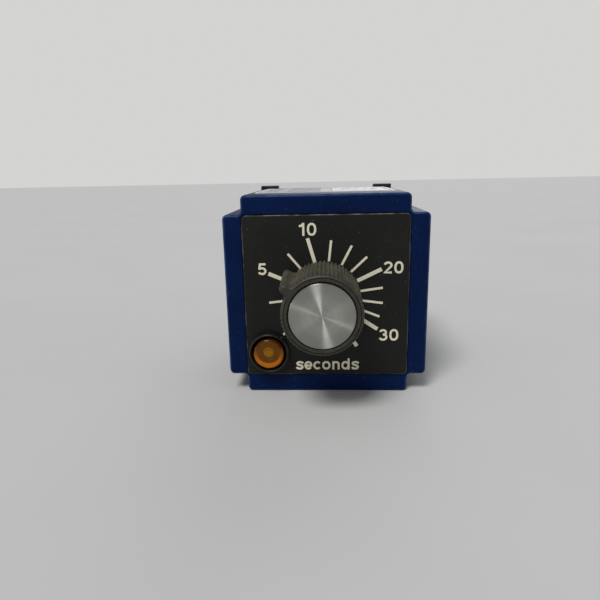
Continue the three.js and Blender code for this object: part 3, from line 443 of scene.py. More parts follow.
cream_ink = screen_ink("cream_screen_ink", "#e2dcc6", "#cfc8ae")
label_ink = screen_ink("grey_label_ink", "#77787a", "#939496")
print("finishes:", cream_ink.name, label_ink.name)

# %% [markdown]
# ## Finish: spun aluminium
#
# The knob's cap is skimmed on a lathe, which leaves hundreds of fine rings. Each ring is a tiny
# groove, and it scatters light outwards and inwards but hardly sideways. So bright rays fan out from
# the centre towards each lamp. They could be painted on, but then they would stay put when the knob
# or the lamp moves. The shader's anisotropy makes them: its tangent points away from the axis, the
# way in which the grooves spread the light.

# %% Spun aluminium
def spun_aluminium(rim):
    """Turned metal. The tangent is the direction from the axis, turned with the knob into the world,
    and the tone follows the distance from the axis: a one-way noise with rings 0.15 mm apart, wider
    bands of 1.2 mm, and darker towards the rim."""
    material, tree, place = new_finish("lathe_spun_aluminium")
    _, outward, radius = from_axis(tree, place, *knob_axis)
    tangent = add(tree, "VectorTransform", {"Vector": outward}, vector_type="VECTOR",
                  convert_from="OBJECT", convert_to="WORLD")
    rings = add(tree, "TexNoise", {"W": radius, "Scale": 1 / (0.15 * MM), "Detail": 3.0},
                noise_dimensions="1D")
    bands = add(tree, "TexNoise", {"W": radius, "Scale": 1 / (1.2 * MM), "Detail": 2.0},
                noise_dimensions="1D")
    haze = add(tree, "TexNoise", {"Vector": place, "Scale": 1 / (5 * MM), "Detail": 3.0})
    share = add(tree, "MapRange", {"Value": rings, "From Min": 0.3, "From Max": 0.7})
    tone = add(tree, "Mix", {"Factor": share, "A": "#a8a7a1", "B": "#bab9b3"}, data_type="RGBA")
    banded = add(tree, "MapRange", {"Value": bands, "From Min": 0.4, "From Max": 0.7, "To Max": 0.35})
    ringed = add(tree, "Mix", {"Factor": banded, "A": tone, "B": "#9b9a94"}, data_type="RGBA")
    # darker towards the rim, by the radius alone
    dulled = add(tree, "MapRange", {"Value": radius, "From Min": 3 * MM, "From Max": rim * MM,
                                    "To Max": 0.5})
    final = add(tree, "Mix", {"Factor": dulled, "A": ringed, "B": "#77766f"}, data_type="RGBA")
    rough = add(tree, "MapRange", {"Value": haze, "From Min": 0.3, "From Max": 0.7, "To Min": 0.3,
                                   "To Max": 0.36})
    bump = add(tree, "Bump", {"Height": rings, "Distance": 0.0015 * MM})
    close_finish(tree, {"Base Color": final, "Metallic": 1.0, "Roughness": rough, "Anisotropic": 1.0,
                        "Tangent": tangent, "Normal": bump})
    return material


cap_radius = radius_of("knob_cap")
spun_cap = spun_aluminium(cap_radius)
print("finish:", spun_cap.name)

# %% [markdown]
# ## Finish: the dyed lens
#
# The lens is polycarbonate with an amber dye, a little cloudy with age, so part of the light passes
# through and part is scattered in the dye. It is thin in front of its hollow, where it looks olive
# brown, and thick at its side wall, where it is orange. The light inside it is painted into its colour:
# the wall's tone follows the height, with painted light, bright orange, below and painted shade, dark
# red brown, above; the tone follows the distance from a point a little above the lamp's axis, so that
# the painted light sits high; and a lighter disc is painted over the gate mark. The refraction is 1.42
# instead of polycarbonate's 1.585, since an old, hazed front mirrors less.

# %% Dyed lens
def dyed_lens_with_painted_light(wall_starts, gate, lift):
    """Amber polycarbonate with painted light: from the wall outwards painted light, orange, below and
    painted shade, red brown, above; olive brown inside the wall; a painted lighter disc over the gate
    mark; flow ripples 1.2 mm across. The rings are centred lift above the lamp's axis."""
    material, tree, place = new_finish("amber_polycarbonate_painted_light")
    # the rings are centred lift above the axis, so the painted light sits high
    offset, _, radius = from_axis(tree, place, lamp_axis[0], lamp_axis[1] + lift)
    ripple = add(tree, "TexNoise", {"Vector": place, "Scale": 1 / (1.2 * MM), "Detail": 3.0})
    height = add(tree, "SeparateXYZ", {"Vector": offset}, "Z")
    # painted light and shade: orange below, red brown above, set by height and not by the lamps
    lit = add(tree, "MapRange", {"Value": height, "From Min": 1.2 * MM, "From Max": -2.4 * MM})
    side = add(tree, "Mix", {"Factor": lit, "A": "#5a2a02", "B": "#d97a10"}, data_type="RGBA")
    wall = add(tree, "MapRange", {"Value": radius, "From Min": (wall_starts - 0.25) * MM,
                                  "From Max": (wall_starts + 0.15) * MM})
    # a painted lighter disc over the gate mark
    painted_light_disc = add(tree, "MapRange", {"Value": radius, "From Min": (gate + 0.12) * MM,
                                  "From Max": (gate - 0.08) * MM})
    olive = add(tree, "Mix", {"Factor": ripple, "A": "#5e3a02", "B": "#7e4f05"}, data_type="RGBA")
    olive_and_painted_disc = add(tree, "Mix", {"Factor": painted_light_disc, "A": olive, "B": "#a56f0b"}, data_type="RGBA")
    tone = add(tree, "Mix", {"Factor": wall, "A": olive_and_painted_disc, "B": side}, data_type="RGBA")
    bump = add(tree, "Bump", {"Height": ripple, "Distance": 0.006 * MM})
    close_finish(tree, {"Base Color": tone, "Roughness": 0.08, "Normal": bump, "IOR": 1.42,
                        "Specular IOR Level": 0.06, "Transmission Weight": 0.4})
    return material


LENS_WALL = 0.8
GATE_RADIUS = 1.25
# the glow is painted light in the lens's colour
PAINTED_LIGHT_LIFT = 0.55  # how far the glow's centre stands above the lamp's axis
lens_radius = radius_of("lamp_lens")
amber_lens_with_painted_light = dyed_lens_with_painted_light(lens_radius - LENS_WALL, GATE_RADIUS, PAINTED_LIGHT_LIFT)
print("finish:", amber_lens_with_painted_light.name)

# %% [markdown]
# ## Finish: glass and clear cover
#
# The neon bulb is soda glass and the relay's cover is clear polycarbonate. Both only bend the light,
# so all of it is transmitted, with the faint ripples of blown or moulded walls.

# %% Glass and clear mouldings
def clear_moulding(name, colour, deep, rough, ior):
    """A moulding that passes all the light, with flow ripples 1.6 mm across."""
    material, tree, place = new_finish(name)
    ripple = add(tree, "TexNoise", {"Vector": place, "Scale": 1 / (1.6 * MM), "Detail": 3.0})
    tone = add(tree, "Mix", {"Factor": ripple, "A": colour, "B": deep}, data_type="RGBA")
    gloss = add(tree, "MapRange", {"Value": ripple, "To Min": rough, "To Max": rough + 0.08})
    bump = add(tree, "Bump", {"Height": ripple, "Distance": 0.01 * MM})
    close_finish(tree, {"Base Color": tone, "Roughness": gloss, "Normal": bump, "IOR": ior,
                        "Transmission Weight": 1.0})
    return material


bulb_glass = clear_moulding("soda_glass", "#f1f4f2", "#e4eae8", 0.02, 1.52)
clear_cover = clear_moulding("clear_polycarbonate", "#dfe6e8", "#cfd9dc", 0.08, 1.585)
print("finishes:", bulb_glass.name, clear_cover.name)

# %% [markdown]
# ## Finish: metals
#
# Brass pins are drawn from tube, nuts and inserts are turned, and steel parts are plated with zinc.
# Each could be one flat metal, but drawing and turning leave fine lines, and all of them dull
# unevenly. So a metal here is a bright and a dull colour in clouds, with a pattern of lines that is
# stretched along the way the metal was worked.

# %% Metals
def worked_metal(name, colour, dull, rough, stretch=(1, 1, 1), line_mm=0.3):
    """A metal in two tones, 2.5 mm clouds, with lines line_mm apart that run along one way."""
    material, tree, place = new_finish(name)
    cloud = add(tree, "TexNoise", {"Vector": place, "Scale": 1 / (2.5 * MM), "Detail": 3.0})
    along = add(tree, "Mapping", {"Vector": place, "Scale": stretch})
    lines = add(tree, "TexNoise", {"Vector": along, "Scale": 1 / (line_mm * MM), "Detail": 2.0})
    share = add(tree, "MapRange", {"Value": cloud, "From Min": 0.35, "From Max": 0.7})
    tone = add(tree, "Mix", {"Factor": share, "A": colour, "B": dull}, data_type="RGBA")
    gloss = add(tree, "MapRange", {"Value": lines, "From Min": 0.3, "From Max": 0.7, "To Min": rough,
                                   "To Max": rough + 0.12})
    bump = add(tree, "Bump", {"Height": lines, "Distance": 0.0015 * MM})
    close_finish(tree, {"Base Color": tone, "Metallic": 1.0, "Roughness": gloss, "Normal": bump})
    return material


ALONG_Y = (1, 0.04, 1)
pin_brass = worked_metal("drawn_brass_tube", "#d3b06a", "#ab8d52", 0.24, ALONG_Y)
turned_brass = worked_metal("lathe_turned_brass", "#cba352", "#9c7b3c", 0.26)
plated_steel = worked_metal("zinc_plated_steel", "#b4b8b8", "#8c9191", 0.3)
drawn_aluminium = worked_metal("drawn_aluminium", "#c0c2c3", "#a3a6a8", 0.28, ALONG_Y)
copper_wire = worked_metal("enamelled_copper_wire", "#b4662f", "#8c4820", 0.25, (1, 6, 1), 0.5)
print("metals:", *(m.name for m in (pin_brass, turned_brass, plated_steel, drawn_aluminium, copper_wire)))

# %% [markdown]
# ## Finish: foil, boards and punched sheet
#
# The rating label is a satin foil, brushed along its length. The boards are paper laminate and the
# pot's track is punched phenolic, and both show short fibres. A picture of the sheet could be laid on,
# but a noise pattern stretched along the grain says the same and stays sharp close up.

# %% Foil and laminates
def fibre_sheet(name, colour, dark, rough, stretch, fibre_mm, metallic=0.0):
    """A sheet whose tone runs in short lines: noise fibre_mm wide, stretched along the grain."""
    material, tree, place = new_finish(name)
    along = add(tree, "Mapping", {"Vector": place, "Scale": stretch})
    fibres = add(tree, "TexNoise", {"Vector": along, "Scale": 1 / (fibre_mm * MM), "Detail": 4.0})
    share = add(tree, "MapRange", {"Value": fibres, "From Min": 0.3, "From Max": 0.7})
    tone = add(tree, "Mix", {"Factor": share, "A": colour, "B": dark}, data_type="RGBA")
    gloss = add(tree, "MapRange", {"Value": share, "To Min": rough, "To Max": rough + 0.12})
    bump = add(tree, "Bump", {"Height": fibres, "Distance": 0.003 * MM})
    close_finish(tree, {"Base Color": tone, "Metallic": metallic, "Roughness": gloss, "Normal": bump})
    return material


label_foil = fibre_sheet("satin_label_foil", "#c9cbca", "#b9bbba", 0.36, (0.06, 1, 1), 0.3, 0.3)
board_laminate = fibre_sheet("paper_laminate_board", "#a8834a", "#8e6b38", 0.5, (1, 0.2, 1), 0.8)
phenolic = fibre_sheet("punched_phenolic", "#6a4325", "#51311b", 0.5, (1, 1, 0.2), 0.6)
print("sheets:", label_foil.name, board_laminate.name, phenolic.name)

# %% [markdown]
# ## Dressing a piece
#
# Every piece rides on one body of the mechanism, so it moves when that body moves. A piece that
# stands for a solid hides that solid.

# %% Dress
def dress(obj, material, body, node=None):
    """Gives a piece its material, rides it on a body, and lets it stand for a solid."""
    obj.data.materials.clear()
    obj.data.materials.append(material)
    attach(obj, body)
    if node:
        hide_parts(node)
    return obj


slot_of = {row["node"]: row["material_slot"] for row in frame["record"]["subparts"]}
body_of = {node: body for body, nodes in frame["record"]["behaviour"]["bodies"].items() for node in nodes}
print("solids in the frame:", len(slot_of))

# %% [markdown]
# ## The case outline
#
# The case is a cross in outline: a square with a small square notch at each corner. It could be a
# box with four cuts, but as a line with a radius at every corner it can be set in by any distance.
# An outer corner then loses radius, and the corner inside a notch gains it, as a real wall does.

# %% Outlines
NOTCH = 4.6
CORNER_ROUND = 1.2
NOTCH_ROUND = 0.9
LEAST_ROUND = 0.25
ARC_STEPS = 7


def cross_ring(inset, y):
    """The cross outline, set in by a distance: four quarter turns of the same three corners."""
    far = case_half - inset
    near = far - NOTCH
    outer, inner = max(CORNER_ROUND - inset, LEAST_ROUND), NOTCH_ROUND + inset
    corners = []
    for c, s in ((1, 0), (0, 1), (-1, 0), (0, -1)):
        for u, v, radius in ((far, near, outer), (near, near, inner), (near, far, outer)):
            corners.append((c * u - s * v, s * u + c * v, radius))
    flat = rounded(corners, closed=True, steps=ARC_STEPS)
    return np.column_stack([flat[:, 0], np.full(len(flat), y), flat[:, 1] + centre_z])


def square_ring(half, radius, y, like):
    """A rounded square whose points lie in the same directions as another ring's. Along a side the
    reach is the half width over the larger of |cos| and |sin|. Round a corner it is the far crossing
    of the ray with the corner's circle."""
    x, z = like[:, 0], like[:, 2] - centre_z
    length = np.hypot(x, z)
    c, s = np.abs(x / length), np.abs(z / length)
    inner = half - radius
    side = half / np.maximum(c, s)
    both = inner * (c + s)
    corner = both + np.sqrt(np.maximum(both ** 2 - 2 * inner ** 2 + radius ** 2, 0))
    reach = np.where(side * np.minimum(c, s) < inner, side, corner)
    return np.column_stack([x / length * reach, np.full(len(x), y), z / length * reach + centre_z])


print("points round the case outline:", len(cross_ring(0, 0)))

# %% [markdown]
# ## The case
#
# The real case is one moulding, open at the back. Solidify could thicken an outer skin, but it would
# also thicken the recess for the face. So one line is followed all the way: inside wall, rear rim,
# outside, rounded front edge, and down into the recess. Each of its points becomes a ring. The two
# holes are cut with a boolean, because they sit off centre.

# %% Case shell
WALL = 2.0
FRONT_WALL = 3.0
RECESS_FIT = 0.15  # gap round the face sheet
PLATE_CORNER = 1.0
LIP_ROUND = 0.2  # front edge of the recess
REAR_ROUNDS = (0.2, 0.25)  # inner and outer edge of the rear rim
HOLES = ((knob_axis, 5.0), (lamp_axis, 4.8))  # axis and radius, for the bushing and for the lamp
plate_half = radius_of("face_plate")
recess_half = plate_half + RECESS_FIT
recess_y = plate_high[1]


def case_shell():
    """Cross rings along the wall's profile, then rounded squares down the recess. On the front, where
    the two meet, each line goes on a little to give its last arc a direction, and that end is left
    out."""
    inside, outside = REAR_ROUNDS
    profile = rounded([(WALL, front_y + FRONT_WALL, 0), (WALL, rear_y, inside), (0, rear_y, outside),
                       (0, front_y, EDGE_ROUND), (2.5, front_y, 0)], steps=7)[:-1]
    rings = [cross_ring(inset, y) for inset, y in profile]
    lip = rounded([(recess_half + 3, front_y, 0), (recess_half, front_y, LIP_ROUND),
                   (recess_half, recess_y, 0)])
    rings += [square_ring(half, PLATE_CORNER + RECESS_FIT, y, rings[-1]) for half, y in lip[1:]]
    return stack("case_shell", rings)


def bore(obj, axis, radius, low, high):
    """Cuts a round hole along Y with a boolean, which is then applied. Low and high lie outside the
    piece, so that the cutter stands past both its faces."""
    cutter = turned("cutter", [(0, low), (radius, low), (radius, high), (0, high)], axis, 64)
    cut = obj.modifiers.new("bore", "BOOLEAN")
    cut.object, cut.solver, cut.operation = cutter, "EXACT", "DIFFERENCE"
    graph = bpy.context.evaluated_depsgraph_get()
    result = bpy.data.meshes.new_from_object(obj.evaluated_get(graph))
    obj.modifiers.clear()
    obj.data = result
    result.set_sharp_from_angle(angle=math.radians(CRISP))
    bpy.data.objects.remove(cutter)


case = case_shell()
for axis, radius in HOLES:
    bore(case, axis, radius, front_y - 2, front_y + FRONT_WALL + 2)
dress(case, blue_abs, "case", "housing")
print("case shell:", len(case.data.polygons), "faces")

# %% [markdown]
# ## The face
#
# The face is a sheet dropped into the recess, standing half a millimetre proud. Its front edge is
# eased by a quarter of a millimetre, and that narrow slope, with a painted highlight in the face's
# finish, is the thin bright line seen along its top. A chamfered slab would do, but the round gives
# the line a soft side.

# %% Face sheet
def face_sheet():
    """Rounded squares along the sheet's profile: its side, then its eased front edge."""
    like = cross_ring(1.0, 0)
    profile = rounded([(0, recess_y, 0), (0, plate_front, FACE_EASE), (4, plate_front, 0)])
    return stack("face_sheet", [square_ring(plate_half - inset, max(PLATE_CORNER - inset, 0.3), y, like)
                                for inset, y in profile])


face = face_sheet()
for axis, radius in HOLES:
    bore(face, axis, radius, plate_front - 1, recess_y + 1)
dress(face, face_black_and_painted_edge, "case", "face_plate")
print("face sheet stands", round(front_y - plate_front, 2), "mm proud")

# %% [markdown]
# ## Ink strokes
#
# The print could be an image laid on the face, but ink has a thickness that shows in slanting light.
# So each line and each stroke of a figure is a flat ribbon of ink with square ends, a few hundredths
# of a millimetre thick.

# %% Ribbon strokes
INK = 0.035  # thickness of the ink layer
LAYER = 0.004  # how much higher each further stroke of a character lies


def stroke(line, width, lift=0.0, closed=False):
    """A ribbon along a centre line in X and Z. Each side lies half a width along the mean of the two
    normals, lengthened at a bend so that the ribbon keeps its width."""
    line = np.asarray(line, float)
    if closed:
        before, after = line - np.roll(line, 1, 0), np.roll(line, -1, 0) - line
    else:
        step = np.diff(line, axis=0)
        before, after = np.vstack([step[:1], step]), np.vstack([step, step[-1:]])
    first, second = [np.column_stack([-d[:, 1], d[:, 0]]) / np.linalg.norm(d, axis=1)[:, None]
                     for d in (before, after)]
    mean = first + second
    mean /= np.linalg.norm(mean, axis=1)[:, None]
    reach = 1 / np.maximum((mean * first).sum(1), 0.6)
    offset = mean * (reach * width / 2)[:, None]
    top = plate_front - INK - lift
    corners = ((offset, plate_front), (offset, top), (-offset, top), (-offset, plate_front))
    rings = np.stack([np.column_stack([line[:, 0] + o[:, 0], np.full(len(line), y), line[:, 1] + o[:, 1]])
                      for o, y in corners], axis=1)
    count = len(line)
    faces = ring_faces(count, 4, closed).tolist()
    if not closed:
        faces += [[3, 2, 1, 0], [4 * count - 4, 4 * count - 3, 4 * count - 2, 4 * count - 1]]
    return rings.reshape(-1, 3), faces


def joined(name, parts):
    """Several (points, faces) as one mesh. The strokes of a figure cross a few thousandths of a
    millimetre apart, so only equal points are merged, and their edges stay crisp from 20 degrees."""
    starts = np.cumsum([0] + [len(points) for points, _ in parts])
    faces = [[i + int(start) for i in face] for (_, some), start in zip(parts, starts) for face in some]
    return make_mesh(name, np.vstack([points for points, _ in parts]), faces, crisp=20, merge=1e-9)


print("ink is", INK, "mm thick")

# %% [markdown]
# The figures need bends. A Bezier curve could give every one, but a formula for each kind of bend
# takes fewer numbers: an arc has a centre, two radii and two angles, an oval is an ellipse made a
# little squarer, and a smooth line runs through the points it is given.

# %% Arcs, ovals and smooth lines
def arc(cx, cz, rx, rz, start, end, steps=20):
    """Points on an ellipse from one angle to another, in degrees, anticlockwise from the right."""
    t = np.radians(np.linspace(start, end, steps + 1))
    return np.column_stack([cx + rx * np.cos(t), cz + rz * np.sin(t)])


def oval(cx, cz, rx, rz, power=2.3, steps=36):
    """An oval a little squarer than an ellipse: cosine and sine raised to 2 / power."""
    t = np.linspace(0, 2 * np.pi, steps, endpoint=False)
    c, s = np.cos(t), np.sin(t)
    return np.column_stack([cx + rx * np.sign(c) * np.abs(c) ** (2 / power),
                            cz + rz * np.sign(s) * np.abs(s) ** (2 / power)])


def smooth(points, steps=6):
    """A smooth line through a few points: a Catmull-Rom cubic between each pair."""
    p = np.asarray(points, float)
    p = np.vstack([2 * p[0] - p[1], p, 2 * p[-1] - p[-2]])
    t = np.linspace(0, 1, steps, endpoint=False)[:, None]
    out = [0.5 * (2 * b + (c - a) * t + (2 * a - 5 * b + 4 * c - d) * t ** 2
                  + (3 * b - a - 3 * c + d) * t ** 3) for a, b, c, d in zip(p, p[1:], p[2:], p[3:])]
    return np.vstack(out + [p[-2:-1]])


print("points on an oval:", len(oval(0, 0, 1, 1)))

# %% [markdown]
# ## Figures and letters
#
# A font could be loaded, but a dial needs only eleven characters, and drawing them shows how a letter
# is built. Each is a list of centre lines in a box one unit high, as a sign writer draws them, and
# the scale turns it into millimetres.

# %% Characters
def characters():
    """For each character its advance width and its centre lines, as (line, closed)."""
    s_line = smooth([(0.575, 0.545), (0.50, 0.64), (0.33, 0.675), (0.175, 0.63), (0.135, 0.535), (0.20, 0.45),
                     (0.36, 0.39), (0.50, 0.315), (0.53, 0.205), (0.445, 0.11), (0.31, 0.088),
                     (0.155, 0.125), (0.075, 0.225)])
    return {
        "0": (0.76, [(oval(0.35, 0.5, 0.245, 0.41), True)]),
        "1": (0.60, [([(0.385, 0), (0.385, 1.0)], False),
                     (smooth([(0.09, 0.76), (0.22, 0.775), (0.315, 0.84), (0.35, 0.93)]), False)]),
        "2": (0.76, [(np.vstack([arc(0.35, 0.69, 0.235, 0.215, 168, -38), [(0.125, 0.09), (0.62, 0.09)]]),
                      False)]),
        "3": (0.76, [(arc(0.335, 0.70, 0.21, 0.205, 162, -88), False),
                     (arc(0.34, 0.325, 0.24, 0.235, 92, -160), False)]),
        "5": (0.76, [([(0.595, 0.905), (0.20, 0.905), (0.135, 0.47)], False),
                     (arc(0.33, 0.335, 0.24, 0.245, 143, -156), False)]),
        "s": (0.66, [(s_line, False)]),
        "e": (0.70, [(arc(0.335, 0.38, 0.235, 0.29, 0, 322, 28), False),
                     ([(0.16, 0.36), (0.64, 0.36)], False)]),
        "c": (0.68, [(arc(0.335, 0.38, 0.235, 0.29, 40, 320, 26), False)]),
        "o": (0.76, [(oval(0.35, 0.38, 0.245, 0.29), True)]),
        "n": (0.74, [([(0.135, 0), (0.135, 0.755)], False),
                     (np.vstack([arc(0.345, 0.46, 0.205, 0.21, 150, 0, 12), [(0.55, 0)]]), False)]),
        "d": (0.76, [(oval(0.33, 0.38, 0.23, 0.29), True), ([(0.58, 0), (0.58, 1.0)], False)]),
    }


def written(text, left, right, foot, height, weight):
    """Strokes of a word that spans left to right and stands on foot, in millimetres."""
    table = characters()
    wide = (right - left) / (sum(table[letter][0] for letter in text) - 0.06)
    strokes, pen = [], left
    for letter in text:
        advance, lines = table[letter]
        for layer, (line, closed) in enumerate(lines):
            flat = np.asarray(line, float) * [wide, height] + [pen, foot]
            strokes.append(stroke(flat, weight, LAYER * layer, closed))
        pen += advance * wide
    return strokes


print("characters drawn:", len(characters()))

# %% [markdown]
# ## The printed scale
#
# Fourteen lines fan round the knob, heavier at 5, 10, 20 and 30, with a stop line at each end of the
# travel. A potentiometer's travel isn't linear in seconds, so the lines aren't evenly spread, and each
# angle is written out.

# %% Scale print
SCALE_CENTRE = np.array([-0.2, centre_z + 0.3])
SCALE_INNER = 8.7
THIN, MEDIUM, HEAVY = 0.56, 0.84, 0.94
# Degrees clockwise from straight up, outer radius, width.
SCALE_LINES = [(-133, 14.5, THIN), (-96.3, 14.0, THIN), (-67.3, 15.0, HEAVY), (-40.3, 13.9, THIN),
               (-16.2, 14.9, MEDIUM), (6.3, 13.8, THIN), (27.5, 14.0, THIN), (46.3, 14.0, THIN),
               (64.1, 15.2, HEAVY), (81.8, 14.15, THIN), (97.4, 14.2, THIN), (111.6, 14.3, THIN),
               (123.5, 15.4, HEAVY), (149, 15.1, HEAVY)]
# Text, left, right, foot, height.
SCALE_WORDS = [("10", -6.65, -2.1, 40.2, 3.1), ("5", -16.75, -14.3, 30.75, 2.95),
               ("20", 13.8, 18.75, 30.8, 3.0), ("30", 12.9, 17.95, 13.75, 3.05),
               ("seconds", -7.9, 8.1, 6.1, 3.0)]
LETTER_WEIGHT = 0.52


def scale_print():
    """All the strokes of the scale in one mesh. A line runs outwards at its angle."""
    strokes = []
    for angle, outer, width in SCALE_LINES:
        way = np.array([math.sin(math.radians(angle)), math.cos(math.radians(angle))])
        strokes.append(stroke([SCALE_CENTRE + way * SCALE_INNER, SCALE_CENTRE + way * outer], width))
    for word in SCALE_WORDS:
        strokes += written(*word, LETTER_WEIGHT)
    return joined("scale_print", strokes)


dress(scale_print(), cream_ink, "case")
print("scale print:", len(SCALE_LINES), "lines,", len(SCALE_WORDS), "words")

# %% [markdown]
# ## The knob
#
# The knob is one moulding: a fluted barrel with a pointer nose. A cylinder with 56 copies of a rib
# could do, but then the nose and the ribs would have to be merged. Instead its outline is drawn once,
# as a curve with ribs and nose together. Going forward the outline shrinks a little, as a moulding
# must to leave its tool, and the ribs fade into a smooth rim round the cap.

# %% Knob outline
POINTER_ANGLE = math.radians(-54)
RIBS = 56
RIB_POINTS = 10
RIB_DEPTH = 0.4
NOSE_HALF = 0.9
NOSE_ROOT = 1.9
FLANK_BEND = 0.35  # how far past its root each flank of the nose straightens
BASE_RADIUS, FRONT_RADIUS = 9.28, 9.12
BASE_NOSE, FRONT_NOSE = 11.6, 11.1


def knob_outline(radius, reach, depth):
    """The outline with the nose straight up. A groove's depth follows |cos| cubed, so that grooves are
    narrow and crests round. Each flank of the nose is a quadratic curve, and its tip is a half circle."""
    root = math.asin(NOSE_ROOT / radius)
    share = np.linspace(0, 1, RIBS * RIB_POINTS + 1)
    angle = root + share * (2 * np.pi - 2 * root)
    reach_at = radius - depth * np.abs(np.cos(np.pi * RIBS * share)) ** 3
    barrel = np.column_stack([reach_at * np.sin(angle), reach_at * np.cos(angle)])
    tip_z = reach - NOSE_HALF
    t = np.linspace(0, 1, 9)[1:, None]
    shoulder, flank_end = barrel[-1], np.array([-NOSE_HALF, tip_z])
    control = np.array([-NOSE_HALF, shoulder[1] + FLANK_BEND])
    left = (1 - t) ** 2 * shoulder + 2 * t * (1 - t) * control + t ** 2 * flank_end
    turn = np.linspace(np.pi, 0, 13)[1:-1]
    tip = np.column_stack([NOSE_HALF * np.cos(turn), tip_z + NOSE_HALF * np.sin(turn)])
    return np.vstack([barrel, left, tip, left[::-1] * [-1, 1]])


print("points round the knob:", len(knob_outline(BASE_RADIUS, BASE_NOSE, RIB_DEPTH)))

# %% [markdown]
# The rings run from the hollow in the back, over the outside and its rounded front edge, and down to
# the seat of the cap. The rings in the hollow and on the seat are plain circles with the same number
# of points, so the same helper joins them.

# %% Knob shell
cap_low, cap_high = node_box("knob_cap")
SKIRT_RADIUS = 7.4
SKIRT_DEPTH = 5.2
SKIRT_BREAK, REAR_BREAK = 0.2, 0.25  # broken edges of the skirt, inside and outside
SEAT_GAP = 0.3  # round the cap
FRONT_LAND = 1.2  # flat front, out from the cap
RIM_ROUND = 0.8
RIB_FADE = (0.1, 0.9)  # distance behind the front in which the ribs rise


def knob_shell():
    """The outline at each depth, set in by the front edge's round, between circles at both ends."""
    edge = rounded([(0, knob_rear, 0), (0, knob_front, RIM_ROUND), (3, knob_front, 0)])[1:-1]
    side = [(0, y) for y in np.linspace(knob_rear - REAR_BREAK, knob_front + 1, 18)]
    rings = []
    for inset, y in [(REAR_BREAK, knob_rear), *side, *edge]:
        forward = (knob_rear - y) / (knob_rear - knob_front)
        radius = BASE_RADIUS + (FRONT_RADIUS - BASE_RADIUS) * forward
        reach = BASE_NOSE + (FRONT_NOSE - BASE_NOSE) * forward
        fade = np.clip((y - knob_front - RIB_FADE[0]) / (RIB_FADE[1] - RIB_FADE[0]), 0, 1)
        outline = knob_outline(radius, reach, RIB_DEPTH * fade * fade * (3 - 2 * fade))
        shrink = 1 - inset / np.hypot(*outline.T)[:, None]
        rings.append(np.column_stack([outline * shrink, np.full(len(outline), y)]))
    around = np.arctan2(rings[0][:, 0], rings[0][:, 1])
    wall = cap_radius + SEAT_GAP
    seat = rounded([(cap_radius + FRONT_LAND, knob_front, 0), (wall, knob_front, 0.2),
                    (wall, cap_high[1], 0), (0, cap_high[1], 0)], steps=4)
    skirt_floor = knob_rear - SKIRT_DEPTH
    hollow = [(0, skirt_floor), (SKIRT_RADIUS, skirt_floor), (SKIRT_RADIUS, knob_rear - SKIRT_BREAK),
              (SKIRT_RADIUS + SKIRT_BREAK, knob_rear)]
    circles = [[np.column_stack([r * np.sin(around), r * np.cos(around), np.full(len(around), y)])
                for r, y in profile] for profile in (hollow, seat)]
    rings = np.array(circles[0] + rings + circles[1])
    c, s = math.cos(POINTER_ANGLE), math.sin(POINTER_ANGLE)
    x, z = rings[..., 0], rings[..., 1]
    placed = [knob_axis[0] + c * x + s * z, rings[..., 2], knob_axis[1] - s * x + c * z]
    return stack("knob_shell", np.stack(placed, axis=-1), capped=False)


knob = knob_shell()
dress(knob, knob_abs, "knob", "knob_body")
print("knob:", len(knob.data.polygons), "faces,", RIBS, "ribs")

# %% [markdown]
# ## The knob's cap
#
# The cap is a disc pressed from sheet, skimmed on a lathe and stuck into its seat. A flat cylinder
# would look dead: the real one is dished by a tenth of a millimetre, so its upper and lower halves
# mirror different things, and its edge is broken, which draws a thin line of light round it.

# %% Knob cap
DISH = 0.1
CAP_LAND = 0.3  # flat ring round the dish


def knob_disc():
    """A turned disc: flat back, broken edge, and a front whose depth falls with the radius squared."""
    front = cap_low[1]
    radius = np.linspace(cap_radius - CAP_LAND, 0, 24)
    rim = rounded([(0, cap_high[1], 0), (cap_radius, cap_high[1], 0.1), (cap_radius, front, 0.06),
                   (radius[0], front, 0)])[:-1]
    dish = np.column_stack([radius, front + DISH * (1 - (radius / radius[0]) ** 2)])
    return turned("knob_disc", np.vstack([rim, dish]), knob_axis, 128)


dress(knob_disc(), spun_cap, "knob", "knob_cap")
print("cap:", round(2 * cap_radius, 1), "mm across")

# %% [markdown]
# ## The lamp
#
# A black bezel holds an amber cup, and the neon bulb stands behind the cup's front. All three are
# turned shapes, so each is a profile carried round the lamp's axis. A solid plug of colour could do
# for the cup, but with real walls it bends and dims the light as the real one does. The mark in the
# middle is where the mould's gate was cut off.

# %% Bezel and lens
bezel_low, bezel_high = node_box("lamp_bezel")
lens_low, lens_high = node_box("lamp_lens")
bezel_radius = radius_of("lamp_bezel")
BARREL_RADIUS = 4.5
BEZEL_BORE = lens_radius + 0.3
FUNNEL_DEPTH = 1.5
LIP_OUTER, LIP_INNER = 0.3, 0.55  # how far in from the flange's edge the lip starts and ends
LENS_FACE = 1.0
LENS_ROUND = 0.5
GATE_DEPTH = 0.12
GATE_BOSS = 0.35  # how far in from the gate mark's edge the cut stub rises


def bezel_ring():
    """Barrel, flange, a narrow front lip, and a funnel back to the bore, as one closed profile. The
    funnel leaves a dark gap round the lens, and only the lip catches the light."""
    lip = bezel_low[1]
    return turned("bezel_ring", rounded([
        (BEZEL_BORE, bezel_high[1], 0.1), (BARREL_RADIUS, bezel_high[1], 0.2),
        (BARREL_RADIUS, plate_front, 0.05), (bezel_radius, plate_front, 0.1),
        (bezel_radius - 0.05, lip + 0.35, 0.3), (bezel_radius - LIP_OUTER, lip, 0.15),
        (bezel_radius - LIP_INNER, lip + 0.05, 0.15), (BEZEL_BORE, lip + FUNNEL_DEPTH, 0.1),
    ], closed=True), lamp_axis, looped=True)


